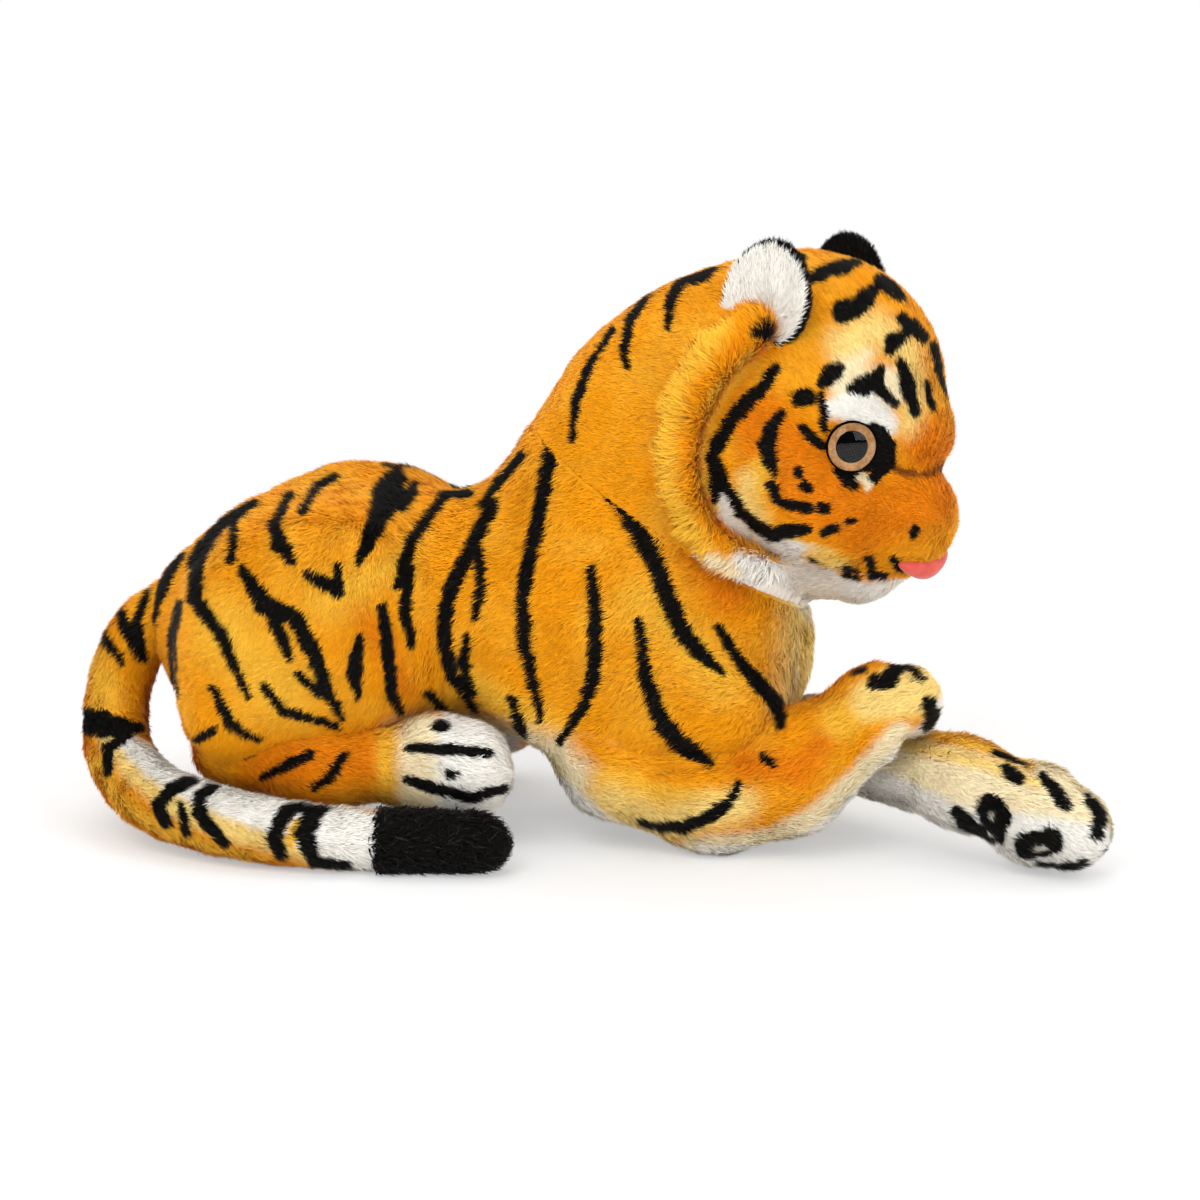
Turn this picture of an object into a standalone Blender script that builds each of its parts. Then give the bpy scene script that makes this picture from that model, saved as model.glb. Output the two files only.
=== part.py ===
"""A lying plush tiger: sewn covers over filling, safety eyes, sewn nose, ears, ruffs and a jointed tail.

Every stuffed form is a blend of tapered masses. Its skin is found along rays from a spine through the
masses, so a cover, the hollow inside it and its filling all come from the same masses at other offsets.
+X runs forward along the body, -Y to its right side and +Z up from the floor.
"""

import math

import bmesh
import bpy
import numpy as np
from mathutils import Matrix, Vector

MM = 0.001

# Clearances and cloth
GAP = 0.3 * MM
CLOTH = 3.0 * MM
OVERRUN = 12.0 * MM
REACH = 400.0 * MM
SMOOTH_ANGLE = math.radians(40.0)

# The pattern's size: every cut of body, head, legs and tail follows it
BODY_HEIGHT = 100.0 * MM

# Body
BODY_LENGTH_SHARE = 2.0
BODY_LENGTH = BODY_LENGTH_SHARE * BODY_HEIGHT
BODY_BLEND_SHARE = 0.26
BODY_BLEND = BODY_BLEND_SHARE * BODY_HEIGHT
SHOULDER_SEAM_SHARE = 0.41
SHOULDER_SEAM_HEIGHT = SHOULDER_SEAM_SHARE * BODY_HEIGHT
BELLY_GUSSET_SHARE = 0.40
BELLY_GUSSET_WIDTH = BELLY_GUSSET_SHARE * BODY_HEIGHT
FRONT_FLAT_SHARE = -0.30
FRONT_FLAT_X = FRONT_FLAT_SHARE * BODY_HEIGHT
GUSSET_TOP_SHARE = 0.85
GUSSET_TOP = GUSSET_TOP_SHARE * BODY_HEIGHT
GUSSET_FRONT_SHARE = 0.55
GUSSET_FRONT_X = GUSSET_FRONT_SHARE * BODY_HEIGHT

# Neck seat: the head turns in a round hollow of the neck
SEAT_RADIUS_SHARE = 0.86
SEAT_RADIUS = SEAT_RADIUS_SHARE * BODY_HEIGHT
SEAT_X_SHARE = 0.60
SEAT_X = SEAT_X_SHARE * BODY_HEIGHT
SEAT_HEIGHT_SHARE = 1.885
SEAT_HEIGHT = SEAT_HEIGHT_SHARE * BODY_HEIGHT
SEAT_DEPTH_SHARE = 0.545
SEAT_DEPTH = SEAT_DEPTH_SHARE * BODY_HEIGHT
NECK_LEAN = math.radians(33.6)

# Head, in its own frame: +X out of the nose, +Z out of the crown
HEAD_SIZE_SHARE = 1.0
HEAD_SIZE = HEAD_SIZE_SHARE * BODY_HEIGHT
HEAD_X_SHARE = 0.97
HEAD_X = HEAD_X_SHARE * BODY_HEIGHT
HEAD_Y = 0.0
HEAD_HEIGHT_SHARE = 1.845
HEAD_HEIGHT = HEAD_HEIGHT_SHARE * BODY_HEIGHT
HEAD_TURN = math.radians(-26.0)
HEAD_NOD = math.radians(12.0)
HEAD_ROLL = math.radians(-3.0)
HEAD_BLEND_SHARE = 0.14
HEAD_BLEND = HEAD_BLEND_SHARE * HEAD_SIZE
FOREHEAD_GUSSET_SHARE = 0.28
FOREHEAD_GUSSET_WIDTH = FOREHEAD_GUSSET_SHARE * HEAD_SIZE
FOREHEAD_DROP_SHARE = 0.10
FOREHEAD_DROP = FOREHEAD_DROP_SHARE * HEAD_SIZE
CHIN_TOP_SHARE = 0.52
CHIN_TOP = CHIN_TOP_SHARE * HEAD_SIZE
CHIN_BACK_SHARE = 0.34
CHIN_BACK = CHIN_BACK_SHARE * HEAD_SIZE

# Eyes
EYE_RADIUS = 11.0 * MM
EYE_BULGE = 6.5 * MM
EYE_BACK_THICKNESS = 1.6 * MM
EYE_STEM_RADIUS = 2.2 * MM
EYE_STEM_LENGTH = 10.0 * MM
WASHER_RADIUS = 9.0 * MM
WASHER_THICKNESS = 2.0 * MM
WASHER_DEPTH = 4.4 * MM
EYE_SINK = 1.0 * MM
EYE_ROOT = 30.0 * MM
LENS_STEP = 0.6 * MM

# Legs and tail
HIND_SIZE_SHARE = 1.0
HIND_SIZE = HIND_SIZE_SHARE * BODY_HEIGHT
HAUNCH_BLEND_SHARE = 0.20
HAUNCH_BLEND = HAUNCH_BLEND_SHARE * HIND_SIZE
LEG_BLEND_SHARE = 0.12
LEG_BLEND = LEG_BLEND_SHARE * HIND_SIZE
FORE_SIZE_SHARE = 1.0
FORE_SIZE = FORE_SIZE_SHARE * BODY_HEIGHT
PAW_REST_SHARE = 0.56
PAW_REST_HEIGHT = PAW_REST_SHARE * FORE_SIZE
FORELEG_PIVOT_SHARES = (0.35, 0.42)
FORELEG_PIVOT_X, FORELEG_PIVOT_Y = (share * FORE_SIZE for share in FORELEG_PIVOT_SHARES)
FORELEG_SWING = math.radians(15.0)
CROSSING_SHARES = (1.23, -0.485)
CROSSING_X, CROSSING_Y = (share * FORE_SIZE for share in CROSSING_SHARES)
CROSSING_TURN = math.radians(-43.0)
CROSSING_TOP_SHARE = 0.90
CROSSING_TOP_X = CROSSING_TOP_SHARE * FORE_SIZE
TAIL_SIZE_SHARE = 1.0
TAIL_SIZE = TAIL_SIZE_SHARE * BODY_HEIGHT
TAIL_BLEND_SHARE = 0.04
TAIL_BLEND = TAIL_BLEND_SHARE * TAIL_SIZE
TAIL_SWING = math.radians(20.0)
TAIL_SHOULDER_SHARE = 0.06
TAIL_SHOULDER = TAIL_SHOULDER_SHARE * TAIL_SIZE
TIP_START_SHARE = -0.90
TIP_START_X = TIP_START_SHARE * TAIL_SIZE

# Small parts, in the head's frame
RUFF_LIFT_SHARE = 0.04
RUFF_LIFT = RUFF_LIFT_SHARE * HEAD_SIZE
RUFF_BLEND_SHARE = 0.03
RUFF_BLEND = RUFF_BLEND_SHARE * HEAD_SIZE
EAR_WIDTH_SHARE = 0.36
EAR_WIDTH = EAR_WIDTH_SHARE * HEAD_SIZE
EAR_TALL_SHARE = 0.50
EAR_TALL = EAR_TALL_SHARE * HEAD_SIZE
EAR_THICKNESS_SHARE = 0.12
EAR_THICKNESS = EAR_THICKNESS_SHARE * HEAD_SIZE
EAR_RIM = 3.0 * MM
LINING_THICKNESS_SHARE = 0.42
LINING_LIFT_SHARE = 0.3
NOSE_WIDTH_SHARE = 0.27
NOSE_WIDTH = NOSE_WIDTH_SHARE * HEAD_SIZE
NOSE_TALL_SHARE = 0.12
NOSE_TALL = NOSE_TALL_SHARE * HEAD_SIZE
NOSE_DEPTH_SHARE = 0.09
NOSE_DEPTH = NOSE_DEPTH_SHARE * HEAD_SIZE

# How finely each form is drawn: points round it, rings along it, rings on each round end
BODY_SEGMENTS = (24, 8, 3)
HEAD_SEGMENTS = (22, 9, 4)
LIMB_SEGMENTS = (12, 9, 2)
TAIL_SEGMENTS = (10, 8, 2)
SMALL_SEGMENTS = (8, 7, 2)
BODY_INNER_SEGMENTS = (12, 8, 3)
HEAD_INNER_SEGMENTS = (11, 9, 4)
LIMB_INNER_SEGMENTS = (6, 9, 2)
TAIL_INNER_SEGMENTS = (5, 8, 2)
SEAT_SEGMENTS = 44
SEAT_RINGS = 12
TAIL_SEAT_SEGMENTS = 20
EYE_SEGMENTS = 16
WASHER_SEGMENTS = 12
STEM_SEGMENTS = 8
PAD_SEGMENTS = 14

# Masses as shares of length, width and height: start, end, start and end radius, and how flat each axis is
BODY_SHARES = (
    ((-0.68, 0.0, 0.72), (-0.63, 0.0, 0.72), 0.60, 0.60, (1.0, 0.94, 1.23)),
    ((-0.45, 0.0, 0.94), (-0.20, 0.0, 0.95), 0.56, 0.56, (1.0, 0.92, 1.0)),
    ((0.05, 0.0, 0.98), (0.12, 0.0, 0.98), 0.66, 0.66, (1.0, 0.88, 1.0)),
    ((0.20, 0.0, 0.70), (0.22, 0.0, 0.76), 0.48, 0.50, (1.0, 0.96, 1.0)),
)
BODY_SPINE_SHARES = (
    (-0.72, 0.0, 0.76), (-0.45, 0.0, 0.86), (-0.20, 0.0, 0.92), (0.02, 0.0, 0.95), (0.20, 0.0, 1.02),
)
NECK_SHARES = (
    ((0.04, 0.0, 1.12), (0.34, 0.0, 1.76), 0.60, 0.56, (1.0, 0.94, 1.0)),
    ((0.26, 0.0, 1.52), (0.66, 0.0, 1.93), 0.56, 0.62, (1.0, 0.94, 1.0)),
)
HEAD_SHARES = (
    ((-0.12, 0.0, 0.08), (-0.06, 0.0, 0.08), 0.63, 0.63, (1.0, 0.93, 1.01)),
    ((0.30, 0.0, 0.14), (0.34, 0.0, 0.12), 0.30, 0.27, (1.0, 1.1, 1.0)),
    ((0.10, 0.27, -0.26), (0.22, 0.24, -0.34), 0.34, 0.30, (1.0, 1.0, 1.0)),
    ((0.10, -0.27, -0.26), (0.22, -0.24, -0.34), 0.34, 0.30, (1.0, 1.0, 1.0)),
    ((0.34, 0.0, -0.24), (0.46, 0.0, -0.31), 0.31, 0.285, (1.0, 1.0, 1.0)),
    ((0.06, 0.0, -0.49), (0.35, 0.0, -0.48), 0.32, 0.25, (1.0, 1.0, 1.0)),
)
HEAD_SPINE_SHARES = ((-0.46, -0.23, -0.24), (-0.02, -0.115, -0.23), (0.42, 0.0, -0.22))
HAUNCH_SHARES = (
    ((-1.31, -0.42, 1.09), (-1.22, -0.42, 1.12), 0.46, 0.46, (1.04, 0.74, 1.0)),
    ((-1.38, -0.46, 0.84), (-1.06, -0.50, 0.82), 0.38, 0.34, (1.08, 0.80, 1.0)),
)
HAUNCH_SPINE_SHARES = ((-1.50, -0.44, 1.00), (-1.08, -0.46, 1.00))
HIND_SHARES = (
    ((-1.60, -0.50, 0.40), (-1.20, -0.58, 0.37), 0.185, 0.20, (1.0, 1.0, 1.0)),
    ((-1.20, -0.58, 0.37), (-0.80, -0.62, 0.38), 0.20, 0.18, (1.0, 1.0, 1.0)),
    ((-0.62, -0.62, 0.39), (-0.52, -0.62, 0.39), 0.225, 0.22, (1.0, 0.98, 1.02)),
)
HIND_SPINE_SHARES = ((-1.60, -0.50, 0.40), (-1.20, -0.58, 0.37), (-0.80, -0.62, 0.38), (-0.52, -0.62, 0.39))
RIGHT_FORE_SHARES = (
    ((0.10, -0.48, 0.34), (0.56, -0.50, 0.26), 0.22, 0.265, (1.0, 1.0, 1.0)),
    ((0.56, -0.50, 0.26), (0.90, -0.50, 0.40), 0.265, 0.25, (1.0, 1.0, 1.0)),
    ((0.90, -0.50, 0.40), (1.18, -0.48, 0.60), 0.25, 0.195, (1.0, 1.0, 1.0)),
    ((1.28, -0.46, 0.66), (1.37, -0.44, 0.67), 0.21, 0.185, (1.0, 1.05, 1.0)),
)
RIGHT_FORE_SPINE_SHARES = (
    (0.10, -0.48, 0.34), (0.52, -0.50, 0.28), (0.90, -0.50, 0.42), (1.18, -0.48, 0.60), (1.37, -0.44, 0.67),
)
LEFT_FORE_SHARES = (
    ((0.30, 0.42, 0.24), (0.62, 0.36, 0.25), 0.245, 0.24, (1.0, 1.0, 1.0)),
    ((0.62, 0.36, 0.25), (1.02, 0.06, 0.36), 0.24, 0.21, (1.0, 1.0, 1.0)),
    ((1.02, 0.06, 0.36), (1.64, -0.52, 0.34), 0.21, 0.20, (1.0, 1.0, 1.0)),
    ((1.64, -0.52, 0.34), (1.90, -0.64, 0.27), 0.20, 0.20, (1.0, 1.0, 1.0)),
    ((1.98, -0.67, 0.235), (2.09, -0.71, 0.205), 0.23, 0.20, (1.0, 1.0, 1.0)),
)
LEFT_FORE_SPINE_SHARES = (
    (0.30, 0.42, 0.24), (0.62, 0.36, 0.25), (1.02, 0.06, 0.36), (1.64, -0.52, 0.34), (1.90, -0.64, 0.27),
    (2.09, -0.71, 0.21),
)
TAIL_PATH_SHARES = (
    (-1.96, 0.0, 0.91), (-2.11, -0.02, 0.80), (-2.19, -0.14, 0.56), (-2.12, -0.42, 0.35),
    (-1.92, -0.68, 0.23), (-1.62, -0.86, 0.185), (-1.34, -0.95, 0.16), (-1.03, -0.97, 0.14),
    (-0.77, -0.97, 0.135), (-0.56, -0.965, 0.137), (-0.42, -0.96, 0.135),
)
TAIL_RADIUS_SHARES = (0.155, 0.145, 0.138, 0.14, 0.15, 0.152, 0.148, 0.142, 0.138, 0.140, 0.138)
TAIL_BEND_STEP = 4
RUFF_PATH_SHARES = (
    (-0.16, 0.47), (-0.22, 0.27), (-0.26, 0.03), (-0.25, -0.13), (-0.22, -0.28), (-0.14, -0.42), (0.0, -0.53),
    (0.16, -0.58),
)
RUFF_RADIUS_SHARES = (0.08, 0.10, 0.11, 0.115, 0.115, 0.11, 0.10, 0.075)
EAR_PLACE_SHARES = (-0.15, -0.49, 0.58)
EAR_FACING = (0.50, -0.86, 0.10)
EAR_UP = (-0.12, -0.22, 0.97)
EYE_PLACE_SHARES = (0.385, -0.40, 0.02)
EYE_FACING = (0.66, -0.74, 0.06)
NOSE_PLACE_SHARES = (0.655, 0.0, -0.43)
NOSE_FACING = (0.90, 0.0, -0.32)


def at(shares, size):
    """A point from its shares of a size, or of three sizes."""
    scale = np.array(size if np.ndim(size) else (size, size, size))
    return np.array(shares) * scale


class Form:
    """A stuffed form: tapered masses blended into one skin."""

    def __init__(self, masses, spine, size, blend):
        self.blend = blend
        reference = size[2] if np.ndim(size) else size
        self.masses = [
            (at(start, size), at(end, size), first * reference, last * reference, np.array(flat))
            for start, end, first, last, flat in masses
        ]
        self.spine = [at(point, size) for point in spine]

    def depth(self, points):
        """Signed distance from the skin: below zero inside."""
        total = None
        for start, end, first, last, flat in self.masses:
            run = (end - start) / flat
            local = (points - start) / flat
            along = np.clip(local @ run / max(run @ run, 1e-12), 0, 1)
            near = np.linalg.norm(local - along[:, None] * run, axis=1) - (first + (last - first) * along)
            near = near * flat.mean()
            if total is None:
                total = near
                continue
            mix = np.maximum(self.blend - np.abs(total - near), 0) / self.blend
            total = np.minimum(total, near) - mix * mix * self.blend / 4
        return total

    def reach(self, origins, directions, offset):
        """Where each ray from inside leaves the skin moved out by offset."""
        steps = np.linspace(0, 1, 60) * REACH / 2
        low = np.zeros(len(origins))
        high = np.full(len(origins), steps[-1])
        found = np.zeros(len(origins), bool)
        for before, after in zip(steps[:-1], steps[1:]):
            outside = self.depth(origins + directions * after) > offset
            new = outside & ~found
            low[new], high[new] = before, after
            found |= new
        for _ in range(22):
            middle = (low + high) / 2
            outside = self.depth(origins + directions * middle[:, None]) > offset
            high = np.where(outside, middle, high)
            low = np.where(outside, low, middle)
        return origins + directions * low[:, None]


def smooth_path(points, share):
    """A point and its direction at a share of the way along a smooth curve through the points."""
    spans = len(points) - 1
    place = min(share * spans, spans - 1e-9)
    index = int(place)
    t = place - index
    before = points[index - 1] if index else 2 * points[0] - points[1]
    after = points[index + 2] if index + 2 <= spans else 2 * points[-1] - points[-2]
    start, end = points[index], points[index + 1]
    curve = (
        2 * start
        + (end - before) * t
        + (2 * before - 5 * start + 4 * end - after) * t**2
        + (3 * start - before - 3 * end + after) * t**3
    ) / 2
    slope = (
        (end - before)
        + 2 * (2 * before - 5 * start + 4 * end - after) * t
        + 3 * (3 * start - before - 3 * end + after) * t**2
    ) / 2
    return curve, slope / np.linalg.norm(slope)


def form_mesh(form, offset, around, along, caps, upright=(0.0, 0.0, 1.0), swell=0.0):
    """Rings of skin points along the spine, with round ends, as a bmesh, then swollen evenly."""
    rings = []
    stations = [(0.0, (k - caps) / caps) for k in range(1, caps)]
    stations += [(k / along, 0.0) for k in range(along + 1)]
    stations += [(1.0, k / caps) for k in range(1, caps)]
    for share, tilt in stations:
        centre, forward = smooth_path(form.spine, share)
        side = np.cross(upright, forward)
        side /= np.linalg.norm(side)
        up = np.cross(forward, side)
        lean = tilt * math.pi / 2
        angles = np.arange(around) * 2 * math.pi / around
        rays = np.outer(np.cos(angles), side) + np.outer(np.sin(angles), up)
        rays = rays * math.cos(lean) + forward * math.sin(lean)
        rings.append(form.reach(np.repeat(centre[None], around, 0), rays, offset))
    poles = []
    for share, sign in ((0.0, -1.0), (1.0, 1.0)):
        centre, forward = smooth_path(form.spine, share)
        poles.append(form.reach(centre[None], (forward * sign)[None], offset)[0])
    mesh = bmesh.new()
    rows = [[mesh.verts.new(point) for point in ring] for ring in rings]
    first = mesh.verts.new(poles[0])
    last = mesh.verts.new(poles[1])
    for a, b in zip(rows[:-1], rows[1:]):
        for k in range(around):
            n = (k + 1) % around
            mesh.faces.new((a[k], a[n], b[n], b[k]))
    for k in range(around):
        n = (k + 1) % around
        mesh.faces.new((rows[0][n], rows[0][k], first))
        mesh.faces.new((rows[-1][k], rows[-1][n], last))
    bmesh.ops.recalc_face_normals(mesh, faces=mesh.faces)
    bmesh.ops.triangulate(mesh, faces=mesh.faces)
    if swell:
        mesh.normal_update()
        for vertex in mesh.verts:
            vertex.co += vertex.normal * vertex.calc_shell_factor() * swell
    return mesh


def box_mesh(low, high):
    """A box between two corners."""
    mesh = bmesh.new()
    bmesh.ops.create_cube(mesh, size=1.0)
    low, high = Vector(low), Vector(high)
    for vertex in mesh.verts:
        vertex.co = [(a + b) / 2 + c * (b - a) for a, b, c in zip(low, high, vertex.co)]
    return mesh


def ball_mesh(radius, segments, rings, frame):
    """A ball whose poles lie on the frame's Z axis."""
    mesh = bmesh.new()
    bmesh.ops.create_uvsphere(mesh, u_segments=segments, v_segments=rings, radius=radius)
    mesh.transform(frame)
    return mesh


def rod_mesh(radius, start, end, segments, frame):
    """A round rod along the frame's Z axis from start to end."""
    mesh = bmesh.new()
    bmesh.ops.create_cone(
        mesh, cap_ends=True, segments=segments, radius1=radius, radius2=radius, depth=end - start
    )
    mesh.transform(Matrix.Translation((0, 0, (start + end) / 2)))
    mesh.transform(frame)
    return mesh


def make(name, mesh, material=None):
    """An object from a bmesh."""
    data = bpy.data.meshes.new(name)
    mesh.to_mesh(data)
    mesh.free()
    obj = bpy.data.objects.new(name, data)
    bpy.context.scene.collection.objects.link(obj)
    if material:
        data.materials.append(material)
    return obj


def drop(*objects):
    """Removes construction objects."""
    for obj in objects:
        bpy.data.objects.remove(obj)


def combine(obj, other, operation="DIFFERENCE", keep=False):
    """Applies an exact Boolean with another object, which is then removed unless it is kept."""
    change = obj.modifiers.new("cut", "BOOLEAN")
    change.solver = "EXACT"
    change.operation = operation
    change.object = other
    graph = bpy.context.evaluated_depsgraph_get()
    graph.update()
    data = bpy.data.meshes.new_from_object(obj.evaluated_get(graph))
    obj.modifiers.clear()
    obj.data = data
    if not keep:
        drop(other)
    return obj


def copy_of(obj, name):
    """A copy with its own mesh."""
    twin = bpy.data.objects.new(name, obj.data.copy())
    bpy.context.scene.collection.objects.link(twin)
    return twin


def finish(obj, name, material):
    """Names a solid, gives it its material and shades it smooth."""
    obj.name = name
    obj.data.name = name
    obj.data.materials.clear()
    obj.data.materials.append(material)
    obj.data.shade_smooth()
    obj.data.set_sharp_from_angle(angle=SMOOTH_ANGLE)
    return obj


def tube_form(path, radii, size, blend):
    """A form that follows a path with a radius at each point."""
    masses = [
        (path[k], path[k + 1], radii[k], radii[k + 1], (1.0, 1.0, 1.0)) for k in range(len(path) - 1)
    ]
    return Form(masses, path, size, blend)


def facing_frame(place, facing, up):
    """A frame at a place whose Z axis points along facing and whose Y axis is as near as it can be to up."""
    forward = Vector(facing).normalized()
    side = Vector(up).cross(forward).normalized()
    above = forward.cross(side)
    frame = Matrix((side, above, forward)).transposed().to_4x4()
    frame.translation = Vector(place)
    return frame


def head_frame():
    """The head's frame in the world: turned to its right, nodding down and rolled a little."""
    turn = Matrix.Rotation(HEAD_TURN, 4, "Z")
    nod = Matrix.Rotation(HEAD_NOD, 4, "Y")
    roll = Matrix.Rotation(HEAD_ROLL, 4, "X")
    return Matrix.Translation((HEAD_X, HEAD_Y, HEAD_HEIGHT)) @ turn @ nod @ roll


def neck_frame():
    """The neck seat's frame: +Z is the axis that the head turns about."""
    return Matrix.Translation((SEAT_X, 0, SEAT_HEIGHT)) @ Matrix.Rotation(NECK_LEAN, 4, "Y")


def seat_side(above):
    """A block on one side of the neck seam's plane."""
    low = (-REACH, -REACH, -SEAT_DEPTH if above else -REACH)
    high = (REACH, REACH, REACH if above else GAP - SEAT_DEPTH)
    mesh = box_mesh(low, high)
    mesh.transform(neck_frame())
    return make("seat_side", mesh)


def seat_ball(radius):
    """A ball about the neck seat's centre, turned about the neck's axis."""
    return make("seat_ball", ball_mesh(radius, SEAT_SEGMENTS, SEAT_RINGS, neck_frame()))


def box(low, high):
    """A box object for cutting."""
    return make("box", box_mesh(low, high))


def floor_end(offset):
    """What lies under the floor, raised by an offset."""
    return box((-REACH, -REACH, -REACH), (REACH, REACH, offset))


def neck_masses(frame):
    """The masses that torso and head share where they meet, in a frame."""
    return [
        (np.array(frame @ Vector(start)), np.array(frame @ Vector(end)), first, last, flat)
        for start, end, first, last, flat in Form(NECK_SHARES, (), BODY_HEIGHT, BODY_BLEND).masses
    ]


def torso_shape(offset, detail, swell=0.0, open_neck=False):
    """The torso's form moved out by offset, flat under the chest and hollowed for the head."""
    form = Form(BODY_SHARES, BODY_SPINE_SHARES, (BODY_LENGTH, BODY_HEIGHT, BODY_HEIGHT), BODY_BLEND)
    form.masses += neck_masses(Matrix.Identity(4))
    body = make("torso_shape", form_mesh(form, offset, *detail, swell=swell))
    out = offset + swell
    combine(body, box((FRONT_FLAT_X + out, -REACH, -REACH), (REACH, REACH, SHOULDER_SEAM_HEIGHT - out)))
    combine(body, floor_end(-out))
    if not open_neck:
        combine(body, seat_side(True))
        combine(body, seat_ball(SEAT_RADIUS + GAP))
    return body


def head_form():
    """The head's masses, with the neck's masses brought into the head's frame."""
    form = Form(HEAD_SHARES, HEAD_SPINE_SHARES, HEAD_SIZE, HEAD_BLEND)
    form.masses += neck_masses(head_frame().inverted())
    return form


def head_shape(offset, detail, swell=0.0, open_neck=False):
    """The head's form moved out by offset, with a round neck end that fits the seat."""
    mesh = form_mesh(head_form(), offset, *detail, swell=swell)
    mesh.transform(head_frame())
    head = make("head_shape", mesh)
    if not open_neck:
        combine(head, combine(seat_side(False), seat_ball(SEAT_RADIUS)))
    return head


def torso_parts(paint):
    """The torso's cover in three sewn panels, and its filling."""
    cover = torso_shape(0, BODY_SEGMENTS)
    combine(cover, tail_ball(GAP))
    combine(cover, torso_shape(-CLOTH, BODY_INNER_SEGMENTS, open_neck=True))
    half = BELLY_GUSSET_WIDTH / 2
    belly = box((-REACH, -half, -REACH), (GUSSET_FRONT_X, half, GUSSET_TOP))
    front = box((GUSSET_FRONT_X - OVERRUN, -half, -REACH), (REACH, half, REACH))
    combine(belly, front, "UNION")
    gusset = combine(copy_of(cover, "gusset"), belly, "INTERSECT")
    belly = box((-REACH, -half - GAP, -REACH), (GUSSET_FRONT_X, half + GAP, GUSSET_TOP + GAP))
    front = box((GUSSET_FRONT_X - OVERRUN - GAP, -half - GAP, -REACH), (REACH, half + GAP, REACH))
    combine(belly, front, "UNION")
    combine(cover, belly)
    right = combine(copy_of(cover, "right"), box((-REACH, -GAP / 2, -REACH), (REACH, REACH, REACH)))
    left = combine(cover, box((-REACH, -REACH, -REACH), (REACH, GAP / 2, REACH)))
    filling = torso_shape(-CLOTH, BODY_INNER_SEGMENTS, swell=-GAP)
    combine(filling, tail_ball(CLOTH))
    return [
        finish(right, "torso_right_panel", paint["orange"]),
        finish(left, "torso_left_panel", paint["orange"]),
        finish(gusset, "chest_belly_gusset", paint["white"]),
        finish(filling, "torso_filling", paint["filling"]),
    ]


def tail_path():
    """The tail's path from its root on the rump to its tip."""
    return [at(point, TAIL_SIZE) for point in TAIL_PATH_SHARES]


def tail_ball(clearance):
    """The round root of the tail, grown by a clearance."""
    frame = Matrix.Translation(Vector(tail_path()[0]))
    radius = TAIL_RADIUS_SHARES[0] * TAIL_SIZE + clearance
    return make("tail_ball", ball_mesh(radius, TAIL_SEAT_SEGMENTS, TAIL_SEAT_SEGMENTS // 2, frame))


def skin_and_fill(shape, cutters, ends, names, materials):
    """A cover and its filling.

    shape(offset, swell) draws the form. The cutters cut both pieces open, and the ends close them flat.
    """
    cover = shape(0, 0)
    hollow = shape(-CLOTH, 0)
    filling = shape(-CLOTH, -GAP)
    for end in ends:
        combine(hollow, end(CLOTH))
        combine(filling, end(CLOTH + GAP))
        combine(cover, end(0))
    combine(cover, hollow)
    for piece in (cover, filling):
        for cutter in cutters:
            combine(piece, cutter, keep=True)
    return [finish(cover, names[0], materials[0]), finish(filling, names[1], materials[1])]


def limb_shape(form, detail=LIMB_SEGMENTS, inner=LIMB_INNER_SEGMENTS):
    """A function that draws the form at an offset, fine outside and plain within."""

    def shape(offset, swell):
        return make("limb", form_mesh(form, offset, *(inner if offset < 0 else detail), swell=swell))

    return shape


def mirror(masses, spine, sign):
    """Masses and a spine given for the right side, on the side that the sign asks for."""

    def turned(point):
        return (point[0], point[1] * sign, point[2])

    sided = [(turned(start), turned(end), *rest) for start, end, *rest in masses]
    return sided, [turned(point) for point in spine]


def hind_parts(torso_cutter, paint):
    """The haunches and the lower hind legs of both sides."""
    parts = []
    for side, sign in (("right", 1), ("left", -1)):
        haunch_form = Form(*mirror(HAUNCH_SHARES, HAUNCH_SPINE_SHARES, sign), HIND_SIZE, HAUNCH_BLEND)
        hind_form = Form(*mirror(HIND_SHARES, HIND_SPINE_SHARES, sign), HIND_SIZE, LEG_BLEND)
        haunch_cutter = make("haunch_cutter", form_mesh(haunch_form, 0, *LIMB_SEGMENTS, swell=GAP))
        parts += skin_and_fill(
            limb_shape(haunch_form), [torso_cutter], [],
            (f"haunch_{side}_cover", f"haunch_{side}_filling"), (paint["orange"], paint["filling"]),
        )
        parts += skin_and_fill(
            limb_shape(hind_form), [torso_cutter, haunch_cutter], [],
            (f"hind_leg_{side}_cover", f"hind_leg_{side}_filling"), (paint["orange"], paint["filling"]),
        )
        drop(haunch_cutter)
    return parts


def swung(cutter, pivot, angle):
    """A copy of a cutter turned about an upright axis: what a piece meets when it swings the other way."""
    twin = copy_of(cutter, "swung")
    place = Matrix.Translation(Vector(pivot))
    twin.data.transform(place @ Matrix.Rotation(angle, 4, "Z") @ place.inverted())
    return twin


def paw_rest_end(offset):
    """What the right foreleg leaves free for the left forearm, grown by an offset."""
    mesh = box_mesh((-REACH, -offset, -REACH), (REACH, REACH, PAW_REST_HEIGHT + offset))
    mesh.transform(Matrix.Rotation(CROSSING_TURN, 4, "Z"))
    mesh.transform(Matrix.Translation((CROSSING_X, CROSSING_Y, 0)))
    return make("paw_rest", mesh)


def forearm_end(offset):
    """What the left forearm leaves free for the right paw, grown by an offset."""
    return box((CROSSING_TOP_X - offset, -REACH, PAW_REST_HEIGHT - GAP - offset), (REACH, REACH, REACH))


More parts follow.
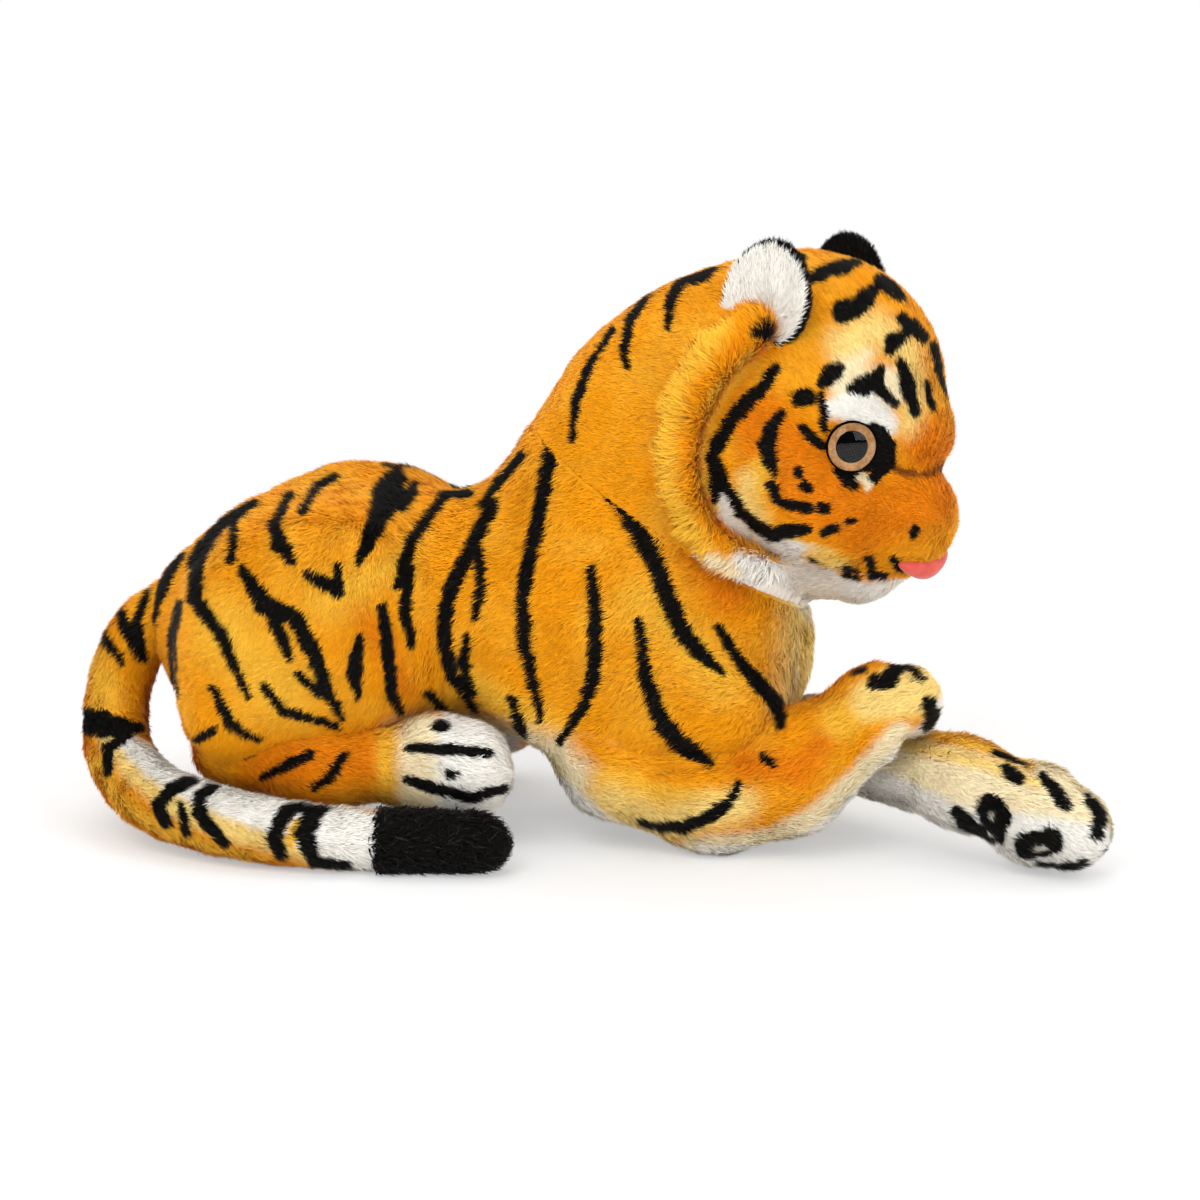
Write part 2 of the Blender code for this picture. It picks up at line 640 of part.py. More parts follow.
def foreleg_parts(torso_cutter, paint):
    """Both forelegs: the right paw lies flat on the left forearm."""
    parts = []
    rows = (
        ("right", RIGHT_FORE_SHARES, RIGHT_FORE_SPINE_SHARES, -1, paw_rest_end),
        ("left", LEFT_FORE_SHARES, LEFT_FORE_SPINE_SHARES, 1, forearm_end),
    )
    for side, shares, spine, sign, end in rows:
        form = Form(shares, spine, FORE_SIZE, LEG_BLEND)
        pivot = (FORELEG_PIVOT_X, sign * FORELEG_PIVOT_Y, 0)
        cutters = [swung(torso_cutter, pivot, -sign * FORELEG_SWING * step / 2) for step in range(3)]
        parts += skin_and_fill(
            limb_shape(form), cutters, [floor_end, end],
            (f"foreleg_{side}_cover", f"foreleg_{side}_filling"), (paint["orange"], paint["filling"]),
        )
        drop(*cutters)
    return parts


def tail_parts(body_cutters, paint):
    """The tail: a base that swings at the rump, an end that bends and a black tip."""
    path = tail_path()
    bend = path[TAIL_BEND_STEP]
    before, after = slice(TAIL_BEND_STEP + 1), slice(TAIL_BEND_STEP, None)
    base_form = tube_form(TAIL_PATH_SHARES[before], TAIL_RADIUS_SHARES[before], TAIL_SIZE, TAIL_BLEND)
    end_form = tube_form(TAIL_PATH_SHARES[after], TAIL_RADIUS_SHARES[after], TAIL_SIZE, TAIL_BLEND)
    bend_radius = TAIL_RADIUS_SHARES[TAIL_BEND_STEP] * TAIL_SIZE + GAP
    place = Matrix.Translation(Vector(bend))
    ball = make("bend_ball", ball_mesh(bend_radius, TAIL_SEAT_SEGMENTS, TAIL_SEAT_SEGMENTS // 2, place))
    _, forward = smooth_path(path, TAIL_BEND_STEP / (len(path) - 1))
    mesh = box_mesh((-REACH, -REACH, -TAIL_SHOULDER), (REACH, REACH, REACH))
    mesh.transform(facing_frame(bend, forward, (0, 0, 1)))
    beyond = make("beyond", mesh)
    cutters = [swung(cutter, path[0], TAIL_SWING * step / 2) for cutter in body_cutters for step in range(3)]
    cutters += [ball, beyond]
    base = skin_and_fill(
        limb_shape(base_form, TAIL_SEGMENTS, TAIL_INNER_SEGMENTS), cutters, [],
        ("tail_base_cover", "tail_base_filling"), (paint["orange"], paint["filling"]),
    )
    drop(*cutters)
    end = skin_and_fill(
        limb_shape(end_form, TAIL_SEGMENTS, TAIL_INNER_SEGMENTS), [], [floor_end],
        ("tail_end_cover", "tail_end_filling"), (paint["orange"], paint["filling"]),
    )
    tip = copy_of(end[0], "tip")
    combine(tip, box((-REACH, -REACH, -REACH), (TIP_START_X, REACH, REACH)))
    combine(end[0], box((TIP_START_X - GAP, -REACH, -REACH), (REACH, REACH, REACH)))
    finish(end[0], "tail_end_cover", paint["orange"])
    return base, end + [finish(tip, "tail_tip_cover", paint["black"])]


def ellipsoid(radii, frame, lift=0.0, segments=PAD_SEGMENTS):
    """An ellipsoid object in a frame, lifted along its Z axis."""
    mesh = bmesh.new()
    bmesh.ops.create_uvsphere(mesh, u_segments=segments, v_segments=segments // 2, radius=1.0)
    mesh.transform(Matrix.Translation((0, 0, lift)) @ Matrix.Diagonal((*radii, 1.0)))
    mesh.transform(frame)
    return make("ellipsoid", mesh)


def eye_parts(side, sign, cover, filling, paint):
    """One safety eye: a clear dome on a backing whose stem goes through cloth and filling to a washer."""
    place = at(EYE_PLACE_SHARES, HEAD_SIZE) * (1, -sign, 1)
    facing = np.array(Vector((EYE_FACING[0], sign * abs(EYE_FACING[1]), EYE_FACING[2])).normalized())
    skin = head_form().reach((place - facing * EYE_ROOT)[None], facing[None], 0.0)[0]
    frame = head_frame() @ facing_frame(skin - facing * EYE_SINK, facing, (0, 0, 1))

    def rod(radius, start, end, segments):
        return make("rod", rod_mesh(radius, start, end, segments, frame))

    low, high = -WASHER_DEPTH - WASHER_THICKNESS, -WASHER_DEPTH
    hole = rod(EYE_STEM_RADIUS + GAP, -EYE_STEM_LENGTH - GAP, OVERRUN, STEM_SEGMENTS)
    combine(cover, rod(EYE_RADIUS + GAP, -GAP, OVERRUN, EYE_SEGMENTS))
    combine(cover, rod(WASHER_RADIUS + GAP, low - GAP, high + GAP, WASHER_SEGMENTS))
    combine(cover, hole, keep=True)
    combine(filling, hole)
    combine(filling, rod(WASHER_RADIUS + GAP, low - GAP, OVERRUN, WASHER_SEGMENTS))
    back = rod(EYE_RADIUS, 0, EYE_BACK_THICKNESS, EYE_SEGMENTS)
    combine(back, rod(EYE_STEM_RADIUS, -EYE_STEM_LENGTH, EYE_BACK_THICKNESS / 2, STEM_SEGMENTS), "UNION")
    lens = EYE_RADIUS - LENS_STEP
    dome = ellipsoid((lens, lens, EYE_BULGE - EYE_BACK_THICKNESS), frame, EYE_BACK_THICKNESS, EYE_SEGMENTS)
    combine(dome, rod(EYE_RADIUS, -OVERRUN, EYE_BACK_THICKNESS + GAP, EYE_SEGMENTS))
    washer = rod(WASHER_RADIUS, low, high, WASHER_SEGMENTS)
    combine(washer, rod(EYE_STEM_RADIUS + GAP, low - OVERRUN, high + OVERRUN, STEM_SEGMENTS))
    return [
        finish(dome, f"eye_{side}_dome", paint["eye_clear"]),
        finish(back, f"eye_{side}_backing", paint["eye_back"]),
        finish(washer, f"eye_{side}_washer", paint["washer"]),
    ]


def ear_parts(side, sign, head_cutter, paint):
    """One ear: a black-edged outer ear with a plump white lining in its dish, and a cutter for both."""
    place = at(EAR_PLACE_SHARES, HEAD_SIZE) * (1, -sign, 1)
    facing = (EAR_FACING[0], sign * abs(EAR_FACING[1]), EAR_FACING[2])
    up = (EAR_UP[0], sign * abs(EAR_UP[1]), EAR_UP[2])
    frame = head_frame() @ facing_frame(place, facing, up)
    outer = ellipsoid((EAR_WIDTH / 2, EAR_TALL / 2, EAR_THICKNESS / 2), frame)
    inner = (EAR_WIDTH / 2 - EAR_RIM, EAR_TALL / 2 - EAR_RIM, EAR_THICKNESS * LINING_THICKNESS_SHARE)
    lift = EAR_THICKNESS * LINING_LIFT_SHARE
    lining = ellipsoid(inner, frame, lift)
    dish = tuple(radius + GAP for radius in inner)
    combine(outer, ellipsoid(dish, frame, lift))
    whole = ellipsoid((EAR_WIDTH / 2 + GAP, EAR_TALL / 2 + GAP, EAR_THICKNESS / 2 + GAP), frame)
    combine(whole, ellipsoid(dish, frame, lift), "UNION")
    for piece in (outer, lining):
        combine(piece, head_cutter, keep=True)
    finish(outer, f"ear_{side}_outer", paint["black"])
    finish(lining, f"ear_{side}_lining", paint["white"])
    return [outer, lining], whole


def ruff_part(side, sign, cutters, paint):
    """One cheek ruff: a curved roll of long pile that lies on the skin behind the cheek."""
    middle = np.array([(x, 0.0, z) for x, z in RUFF_PATH_SHARES]) * HEAD_SIZE
    outward = np.repeat([(0.0, float(sign), 0.0)], len(middle), 0)
    path = head_form().reach(middle, outward, RUFF_LIFT)
    form = tube_form(path / HEAD_SIZE, RUFF_RADIUS_SHARES, HEAD_SIZE, RUFF_BLEND)
    mesh = form_mesh(form, 0, *SMALL_SEGMENTS, upright=(0.0, 1.0, 0.0))
    mesh.transform(head_frame())
    ruff = make("ruff", mesh)
    for cutter in cutters:
        combine(ruff, cutter, keep=True)
    return finish(ruff, f"ruff_{side}", paint["orange"])


def head_parts(paint):
    """The head: sewn panels over filling, with eyes, nose, ears and ruffs."""
    cover = head_shape(0, HEAD_SEGMENTS)
    combine(cover, head_shape(-CLOTH, HEAD_INNER_SEGMENTS, open_neck=True))
    filling = head_shape(-CLOTH, HEAD_INNER_SEGMENTS, swell=-GAP)
    cutter = head_shape(0, HEAD_SEGMENTS, swell=GAP, open_neck=True)
    parts = []
    for side, sign in (("right", -1), ("left", 1)):
        parts += eye_parts(side, sign, cover, filling, paint)
        ears, whole_ear = ear_parts(side, sign, cutter, paint)
        parts += ears
        parts.append(ruff_part(side, sign, [cutter, whole_ear], paint))
        drop(whole_ear)
    place = at(NOSE_PLACE_SHARES, HEAD_SIZE)
    frame = head_frame() @ facing_frame(place, NOSE_FACING, (0, 0, 1))
    nose = ellipsoid((NOSE_WIDTH / 2, NOSE_TALL / 2, NOSE_DEPTH), frame)
    combine(nose, cutter)
    parts.append(finish(nose, "nose_pad", paint["coral"]))
    half = FOREHEAD_GUSSET_WIDTH / 2

    def head_box(low, high):
        mesh = box_mesh(low, high)
        mesh.transform(head_frame())
        return make("head_box", mesh)

    middle = head_box((-REACH, -half, -FOREHEAD_DROP), (REACH, half, REACH))
    crown = combine(copy_of(cover, "crown"), middle, "INTERSECT")
    combine(cover, head_box((-REACH, -half - GAP, -FOREHEAD_DROP - GAP), (REACH, half + GAP, REACH)))
    below = head_box((-CHIN_BACK, -REACH, -REACH), (REACH, REACH, -CHIN_TOP))
    chin = combine(copy_of(cover, "chin"), below, "INTERSECT")
    combine(cover, head_box((-CHIN_BACK - GAP, -REACH, -REACH), (REACH, REACH, -CHIN_TOP + GAP)))
    right = combine(copy_of(cover, "face"), head_box((-REACH, -GAP / 2, -REACH), (REACH, REACH, REACH)))
    left = combine(cover, head_box((-REACH, -REACH, -REACH), (REACH, GAP / 2, REACH)))
    parts += [
        finish(crown, "head_gusset", paint["orange"]),
        finish(chin, "chin_panel", paint["white"]),
        finish(right, "face_right_panel", paint["orange"]),
        finish(left, "face_left_panel", paint["orange"]),
        finish(filling, "head_filling", paint["filling"]),
    ]
    return parts


def material(name, colour, roughness, metallic=0.0, alpha=1.0):
    """A plain material for one finish."""
    made = bpy.data.materials.new(name)
    made.use_nodes = True
    shader = made.node_tree.nodes["Principled BSDF"]
    shader.inputs["Base Color"].default_value = (*colour, 1.0)
    shader.inputs["Roughness"].default_value = roughness
    shader.inputs["Metallic"].default_value = metallic
    shader.inputs["Alpha"].default_value = alpha
    return made


def paints():
    """The toy's finishes."""
    return {
        "orange": material("orange_plush", (0.79, 0.36, 0.03), 0.9),
        "white": material("white_plush", (0.88, 0.86, 0.80), 0.9),
        "black": material("black_plush", (0.012, 0.011, 0.010), 0.9),
        "filling": material("polyester_filling", (0.90, 0.90, 0.88), 1.0),
        "coral": material("coral_nose", (0.71, 0.16, 0.10), 0.5),
        "eye_clear": material("clear_dome", (0.90, 0.88, 0.84), 0.05, alpha=0.3),
        "eye_back": material("bronze_eye", (0.42, 0.24, 0.09), 0.3, 0.4),
        "washer": material("white_washer", (0.82, 0.82, 0.80), 0.5),
    }


def carry(name, place, parent, parts):
    """An empty on a joint's axis that carries a body's pieces."""
    empty = bpy.data.objects.new(name, None)
    bpy.context.scene.collection.objects.link(empty)
    empty.location = place
    empty.parent = parent
    if parent is not None:
        empty.matrix_parent_inverse = parent.matrix_world.inverted()
    bpy.context.view_layer.update()
    for piece in parts:
        piece.parent = empty
        piece.matrix_parent_inverse = empty.matrix_world.inverted()
    return empty


def build():
    """Builds the whole toy and sets it with its box's bottom centre at the origin."""
    for obj in list(bpy.data.objects):
        bpy.data.objects.remove(obj)
    paint = paints()
    torso = torso_parts(paint)
    torso_cutter = torso_shape(0, BODY_SEGMENTS, swell=GAP, open_neck=True)
    hind = hind_parts(torso_cutter, paint)
    forelegs = foreleg_parts(torso_cutter, paint)
    tail_base, tail_end = tail_parts([torso_cutter], paint)
    drop(torso_cutter)
    head = head_parts(paint)
    root = carry("toy", (0, 0, 0), None, torso + hind)
    carry("head_axis", (SEAT_X, 0, SEAT_HEIGHT), root, head)
    carry("foreleg_right_axis", (FORELEG_PIVOT_X, -FORELEG_PIVOT_Y, 0), root, forelegs[:2])
    carry("foreleg_left_axis", (FORELEG_PIVOT_X, FORELEG_PIVOT_Y, 0), root, forelegs[2:])
    path = tail_path()
    base = carry("tail_root_axis", path[0], root, tail_base)
    carry("tail_bend_axis", path[TAIL_BEND_STEP], base, tail_end)
    solids = [obj for obj in bpy.data.objects if obj.type == "MESH"]
    corners = np.array([vertex.co for obj in solids for vertex in obj.data.vertices])
    low, high = corners.min(0), corners.max(0)
    root.location = (-(low[0] + high[0]) / 2, -(low[1] + high[1]) / 2, -low[2])
    bpy.context.view_layer.update()
    for obj in bpy.data.objects:
        if obj.type == "EMPTY":
            print(obj.name, [round(value, 6) for value in obj.matrix_world.translation])


build()
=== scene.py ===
import logging
import math
from dataclasses import dataclass, replace
from enum import Enum
from typing import Callable, Sequence

import bpy
import numpy as np
from mathutils import Matrix, Vector


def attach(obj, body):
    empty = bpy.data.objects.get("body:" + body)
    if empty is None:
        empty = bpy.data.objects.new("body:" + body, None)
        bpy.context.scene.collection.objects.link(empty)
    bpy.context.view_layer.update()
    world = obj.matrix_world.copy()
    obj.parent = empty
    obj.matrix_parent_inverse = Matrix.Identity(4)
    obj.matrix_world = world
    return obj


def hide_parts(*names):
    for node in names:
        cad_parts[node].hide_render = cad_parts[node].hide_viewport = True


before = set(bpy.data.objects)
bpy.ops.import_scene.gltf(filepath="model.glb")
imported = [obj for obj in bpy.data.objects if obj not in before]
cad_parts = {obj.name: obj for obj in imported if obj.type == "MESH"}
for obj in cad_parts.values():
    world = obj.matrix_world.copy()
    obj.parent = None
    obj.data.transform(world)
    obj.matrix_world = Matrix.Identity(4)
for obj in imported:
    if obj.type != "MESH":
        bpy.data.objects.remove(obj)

log = logging.getLogger("plush_tiger")

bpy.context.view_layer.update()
MM = 0.001
# From the toy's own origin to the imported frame's
SHIFT_MM = np.array([3.012, 14.11, 0.0])
Points = np.ndarray
Flow = Callable[[Points, Points], Points]
Paint = Callable[[Points, Points], Points]

# Camera, as the photograph was read
AZIMUTH = math.radians(6.0)
ELEVATION = math.radians(12.0)
DISTANCE_MM = 1500.0
TARGET_MM = np.array([0.0, 0.0, 100.5])
LENS_MM = 100.0
SENSOR_MM = 36.0
PHOTO_WIDTH = 1200
MM_PER_PIXEL = 0.45

# How finely the cloth is drawn, in millimetres
CLOTH_STEP = 1.6
SKIN_DEPTH = 3.0
FLOOR_GAP = 1.0
CUT_MARGIN = 0.3
SEED = 7

# Where a ray from inside a form is tried, and how often the hit is then halved
RAY_STEPS = np.linspace(0, 200, 41)
HALVINGS = 12

# Printed stripes, in pixels: how much wider than written, and the widest edge that is still one
STRIPE_SPREAD = 4.2
SHARP_EDGE = 5
THINNING = 22.0
THIN_FROM = 0.30
DRIFT = 3.4

# Painted shade: the cloth under the pile is drawn darker, and a lock darker at its root and lighter
# at its tip, less so on pale dyes; and the share of locks with a painted glint
CLOTH_SHADE, CLOTH_LIFT = 0.84, 0.14
LOCK_SHADES = np.array([0.80, 0.80, 0.97, 0.97, 1.08])
LOCK_LIFT = 0.85
GLINT_SHARE = 0.10

# How locks differ from one another, as shares but the leans, which are in radians
SHORTEST, LENGTH_SPREAD = 0.72, 0.5
LOW_PATCH, PATCH_SPREAD = 0.85, 0.3
NARROWEST, WIDTH_SPREAD = 0.7, 0.6
LEAST_LEAN, MOST_LEAN = 0.08, 1.45

# Where a lock bends, how wide it is there, and how far its tip bows on and down
BEND_AT, BEND_WIDTH = 0.55, 0.85
BOW_ON, BOW_DOWN = 0.45, 0.3
TIP_FLOOR = 0.3
BURIED = 1.5

# Where along a lock its dye is read, how far that strays in millimetres, and how tones vary
DYE_AT = 0.6
DYE_STRAY = 0.35
LOCK_TONE, SPECK_TONE, CLOUD_TONE, GROUND_TONE = 0.07, 0.16, 0.14, 0.10
GOLD_STRENGTH = 0.45

# Random patterns over the cloth: width of a patch in millimetres, and which pattern
COMB_PATCH, RISE_PATCH, LENGTH_PATCH = (9.0, 3), (5.0, 5), (7.0, 9)
SPECKS, CLOUDS = (2.2, 11), (14.0, 13)
DRIFT_ACROSS, DRIFT_DOWN = (3.0, 21), (3.0, 22)
GROUND_CLOUDS, GOLD_PATCHES = (26.0, 31), (15.0, 33)

# Inputs and output of a colour mix node
MIX_A, MIX_B, MIX_RESULT = 6, 7, 2


def linear(hex_code: str) -> np.ndarray:
    """Turns an sRGB hex colour into linear light.

    Args:
        hex_code: six hex digits, with or without a leading hash.

    Returns:
        The three linear channels.
    """
    digits = hex_code.lstrip("#")
    value = np.array([int(digits[k : k + 2], 16) / 255 for k in (0, 2, 4)])
    return np.where(value <= 0.04045, value / 12.92, ((value + 0.055) / 1.055) ** 2.4)


def unit(vectors: Points, least: float = 0.0) -> Points:
    """Rows of length one along the given rows, which count as no shorter than the least."""
    return vectors / np.maximum(np.linalg.norm(vectors, axis=1), least)[:, None]


class Side(Enum):
    """A side of the toy, as the sign of its Y."""

    RIGHT = -1.0
    LEFT = 1.0

    @property
    def word(self) -> str:
        """The side as pieces and nodes spell it."""
        return self.name.lower()


class Ink(Enum):
    """Dyes of the printed pile, and colours of painted shade and highlight, as hex colours."""

    BLACK = "090806"
    # brown of the painted shade in the crease under the brow
    BROWN = "8C4A0C"
    DEEP = "E57F00"
    ORANGE = "F09C04"
    GOLD = "F6BC34"
    YELLOW = "F8D880"
    CREAM = "F6E6BE"
    WHITE = "F1EEE6"
    # grey of the painted highlights on the paw pads
    GREY = "B9B4A6"


INKS = {
    "k": Ink.BLACK, "b": Ink.BROWN, "d": Ink.DEEP, "o": Ink.ORANGE, "g": Ink.GOLD,
    "y": Ink.YELLOW, "c": Ink.CREAM, "w": Ink.WHITE, "a": Ink.GREY,
}

# Printed marks, and a few marks of painted shade and highlight, in the photograph's pixels:
# dye, softness of the edge, then x, y and width at each point along the mark
# The deep-orange marks from 350,600 down the crease between haunch and flank and from 668,470 on
# the neck under the ruff are painted shade.
GROUND_MARKS = """
g 70 225,630,60 280,690,60
d 30 350,600,12 385,645,20 404,690,16
g 50 330,600,40 400,560,30
g 60 640,600,40 720,680,40
g 26 465,680,26 505,705,26 560,735,24
c 34 400,735,24 470,738,36 530,752,44 600,775,44
w 20 470,752,16 530,768,24 590,790,24
d 34 668,470,20 690,540,36 730,590,44
y 40 812,590,50 812,640,64 800,700,50
c 24 822,590,24 818,640,28 806,700,26
"""
BODY_MARKS = """
k 2 181,554,7 162,586,10 151,618,9 152,653,4
k 2 180,603,5 172,640,7 176,697,3
k 2 254,503,7 219,525,12 197,560,13 195,599,12 219,630,10 235,665,8 248,696,4
k 2 235,516,5 232,560,6
k 2 290,496,7 274,525,9 280,544,14 293,563,6
k 2 334,477,6 315,490,8 302,512,7
k 2 395,480,20 388,495,30 379,516,20 367,545,11 358,563,4
k 2 414,488,9 404,505,10
k 2 443,498,7 411,541,10 398,586,7
k 2 411,570,5 404,611,9 412,646,4
k 2 494,504,9 471,548,13 447,599,12 443,637,11 452,675,10 474,709,4
k 2 478,548,6 481,586,8 474,618,4
k 2 467,637,5 463,662,9 471,694,5
k 2 554,418,9 545,484,12 532,548,12 522,599,11 524,643,12 541,720,4
k 2 243,570,7 264,605,17 296,618,14 315,656,13 328,694,9 342,717,4
k 2 270,611,9 283,640,11 290,658,5
k 2 299,675,5 321,694,7
k 2 307,576,5 325,584,9 337,589,14
k 2 337,565,4 339,592,7
k 2 264,685,5 283,710,8 337,726,4
k 2 213,688,6 232,726,9 258,739,4
k 2 213,731,7 197,739,5
k 2 360,637,5 355,672,14 358,697,5
k 2 382,608,7 388,650,10 392,694,9 401,713,4
k 2 428,694,6 446,712,5
k 2 511,699,6 519,723,9 526,739,4
k 2 522,455,5 500,481,7 481,506,5
k 2 442,493,8 468,493,8
k 2 384,463,5 430,467,6
k 2 590,568,5 595,600,9 595,671,12 583,707,9 560,742,4
k 2 570,380,6 575,445,9 610,490,14 637,531,15 654,562,15 668,599,14 682,632,15 702,655,12 722,673,4
k 2 639,622,6 646,679,12 658,715,14 678,742,18 710,762,8
k 2 718,628,5 741,663,9 761,687,12 779,707,13 781,726,6
"""
LIP_MARKS = """
o 10 842,572,8 868,577,10 892,574,10
k 2 845,575,4 857,578,4
k 2 872,576,5 884,578,4
k 2 893,574,4 901,570,4
"""
CHEST_MARKS = """
y 24 770,600,30 806,640,40 800,700,40
g 26 785,612,10 790,660,10
"""
NECK_MARKS = """
k 2 721,259,6 704,276,9 682,281,9 670,298,8 668,329,4
k 2 676,267,4 648,293,6 631,318,7 624,346,6 626,368,3
k 2 612,330,4 588,368,5 575,405,5 572,440,4
"""
HIND_MARKS = """
d 40 270,765,60 370,760,50
g 20 392,735,30 392,800,30
c 20 424,735,50 424,800,50
w 22 478,735,84 478,800,84
k 2 245,756,5 280,736,7
k 2 264,777,6 309,755,9
k 2 315,788,5 331,777,9 345,755,6
k 2 409,748,5 450,750,8 490,753,6
k 2 408,780,6 443,791,9 474,798,8 505,788,5
k 2 438,727,9 444,726,9
k 2 449,774,7 454,775,6
"""
TAIL_MARKS = """
g 30 95,660,24 105,700,30
y 16 112,740,26 140,764,44 180,790,56 235,812,60 300,830,58 345,842,66 385,850,70
w 12 128,744,18 155,764,30 195,784,38 245,802,42 300,820,48 345,836,62 385,846,66
g 14 96,766,20 120,806,22 160,834,20 212,852,16 262,862,10
k 2 148,592,5 136,624,7 144,662,4
k 2 119,611,7 129,637,9 140,659,4
k 2 101,634,7 113,650,8 122,664,4
k 2 80,722,24 100,724,24 125,728,14 143,728,5
k 2 129,734,5 108,748,9 108,774,5
k 2 197,777,9 172,790,11 159,806,12 167,825,8
k 2 218,783,7 200,796,9 200,815,11 226,844,7
k 2 181,806,5 187,834,6
g 3 296,822,9 290,845,9
k 2 315,800,7 286,812,12 274,838,14 283,857,8
k 2 331,801,8 312,815,16 304,834,17 315,863,11
k 2 315,863,10 347,866,8
"""
# The deep-orange mark from 745,765 is painted shade under the torso's fold.
RIGHT_FORE_MARKS = """
c 30 550,760,50 590,800,50 640,835,40
g 30 610,785,40 650,800,50 700,800,40
y 30 610,805,40 660,828,40 740,805,36
w 12 560,790,24 600,826,26 660,856,26 730,866,26 800,850,20
o 14 650,776,8 690,780,14 745,776,14
d 26 745,765,30 800,770,34 840,720,20
g 20 840,720,40 890,690,40
y 20 872,700,40 912,688,60
c 14 690,846,14 773,838,20 817,818,26 860,780,28 900,735,26
w 9 700,850,9 773,850,13 822,834,18 866,794,20 902,756,20 940,722,22 948,690,12
k 2 641,823,4 662,828,8 686,827,10 710,817,10 730,802,8 739,784,4
k 2 763,756,5 773,764,5
k 2 595,671,12 583,707,9 560,742,4
k 2 658,715,14 678,742,18 710,762,8
k 2 779,707,13 781,726,6
k 2 876,682,13 889,682,13 894,669,12 906,663,10 921,660,5
k 2 852,671,6 864,668,6
k 2 910,667,5 921,679,6
k 2 893,658,4 904,658,5
k 2 929,703,12 933,718,13 929,727,8
"""
# The grey marks on the pads at 993,815 and 1036,849 are painted highlights.
LEFT_FORE_MARKS = """
o 30 640,745,130 740,745,120 800,738,76
k 2 668,722,4 676,742,9 690,768,5
k 2 712,715,4 722,745,10 728,772,4
k 2 764,712,4 772,738,9 768,764,4
g 14 905,728,16 985,746,18 1030,766,10
y 14 905,744,14 985,764,14 1040,784,10
w 14 880,792,44 960,830,44 1040,850,70 1100,850,50
k 2 1006,768,8 1018,780,10
k 2 994,753,3 1008,756,4
k 2 1014,759,4 1026,764,3
k 2 1043,776,5 1056,792,12 1066,806,9
k 2 1088,797,5 1100,815,11 1096,835,10
k 2 1107,853,7 1110,850,6
k 2 957,811,7 966,823,13 980,834,12
k 2 985,839,4 1002,841,3
k 2 991,808,26 996,818,28
k 2 999,828,16 1001,831,10
a 3 993,815,5 992,817,6
k 2 1027,846,22 1050,842,25
a 3 1036,849,4 1044,848,5
k 2 1040,866,6 1063,871,12 1084,864,8
"""
# The brown mark from 893,468 is painted shade in the crease under the brow.
FACE_MARKS = """
d 40 760,420,60 790,470,90 860,520,70 930,500,60
d 30 925,440,50 945,470,40
y 30 846,345,40 875,328,36 908,350,26 914,400,26 908,425,20
c 22 846,370,24 866,356,14
c 14 850,390,40 882,388,46
w 12 832,408,20 860,408,40 884,424,28
g 20 760,470,26 750,495,30 758,520,24
y 24 746,480,16 744,500,20 758,518,14
g 10 766,342,8 744,366,10 724,390,10 708,420,10 701,450,10 705,484,9 714,508,8
b 5 893,468,7 908,474,9 928,474,7 946,464,6
c 4 858,476,8 868,480,12 866,488,6
y 8 722,512,14 745,534,12 800,548,12 826,560,24
w 6 718,520,14 738,545,24 775,562,38 820,584,34 900,598,24
w 6 722,488,8 724,505,14 731,520,12 750,540,14 790,548,14 812,552,10
g 16 812,556,16 842,565,20
y 16 815,560,10 840,568,12
k 2 852,388,6 863,385,17 875,380,16 880,369,7
k 2 876,384,12 886,395,8 895,403,6
k 2 889,350,8 893,341,14 904,334,9
k 2 843,312,20 856,306,17 867,297,15 875,287,8
k 2 769,374,8 773,371,6
k 2 803,282,6 825,272,11 845,266,12 859,260,7
k 2 789,255,5 802,258,6
k 2 879,280,9 890,287,13 901,297,6
k 2 902,319,8 912,327,12 925,338,8
k 2 901,362,7 907,385,13 915,411,8
k 2 926,382,3 932,408,4
k 2 937,368,4 949,397,4
k 2 934,346,6 940,368,6
k 2 822,383,9 832,373,16 839,366,6
k 2 801,398,17 806,397,15
k 2 820,396,4 823,412,5 824,428,6
k 2 801,427,4 812,437,9 822,446,7
k 2 755,332,9 768,330,18 780,338,11
k 2 872,426,6 882,434,11 887,447,14 886,462,14 874,477,9
k 2 838,470,8 848,480,12 854,486,6
k 2 828,446,0 835,429,1 853,422,-1 870,428,4 879,446,7 871,464,7 853,472,2 836,464,0 828,446,0
k 2 776,368,6 760,391,11 745,403,12 728,425,12 718,444,12 710,458,9
k 2 714,463,12 719,478,17 713,495,8 709,508,4
k 2 726,488,8 741,512,9 755,526,10 772,534,12 789,531,12 806,530,8
k 2 781,413,6 771,428,13 766,446,15 769,461,11 774,474,4
k 2 770,484,7 776,500,8 789,506,8 808,508,7
k 2 821,508,9 826,509,7
k 2 798,471,6 799,475,5
k 2 804,486,9 808,489,7
k 2 823,533,4 835,528,5
k 2 848,522,4 854,520,4
k 2 915,529,7 914,535,5
k 2 847,570,7 856,574,7
k 2 869,559,6 871,566,6
k 2 870,574,5 883,577,5
k 2 893,560,6 900,568,7
k 2 827,572,4 835,577,5
k 2 812,561,4 814,563,3
"""
RUFF_MARKS = """
o 14 790,330,20 740,372,20 705,415,20 690,450,20 690,490,20 720,540,20
g 16 715,325,36 672,380,36 660,440,34 666,500,30 700,548,26
g 8 752,352,10 716,392,12 704,440,12 702,485,12 714,516,10
w 12 738,560,16 752,572,36 786,590,46 820,604,40
c 12 712,560,14 735,572,12
k 2 755,332,9 768,330,18 780,338,11
"""
DENTS = "558,440,5 579,442,5 594,453,5 619,463,5 655,481,5"
FOLD = "574,760,-3 600,765,-2 640,768,-1 680,767,0 716,766,0 752,762,0"
FOREHEAD_DENT = "862,279,5 880,297,5 901,320,5"


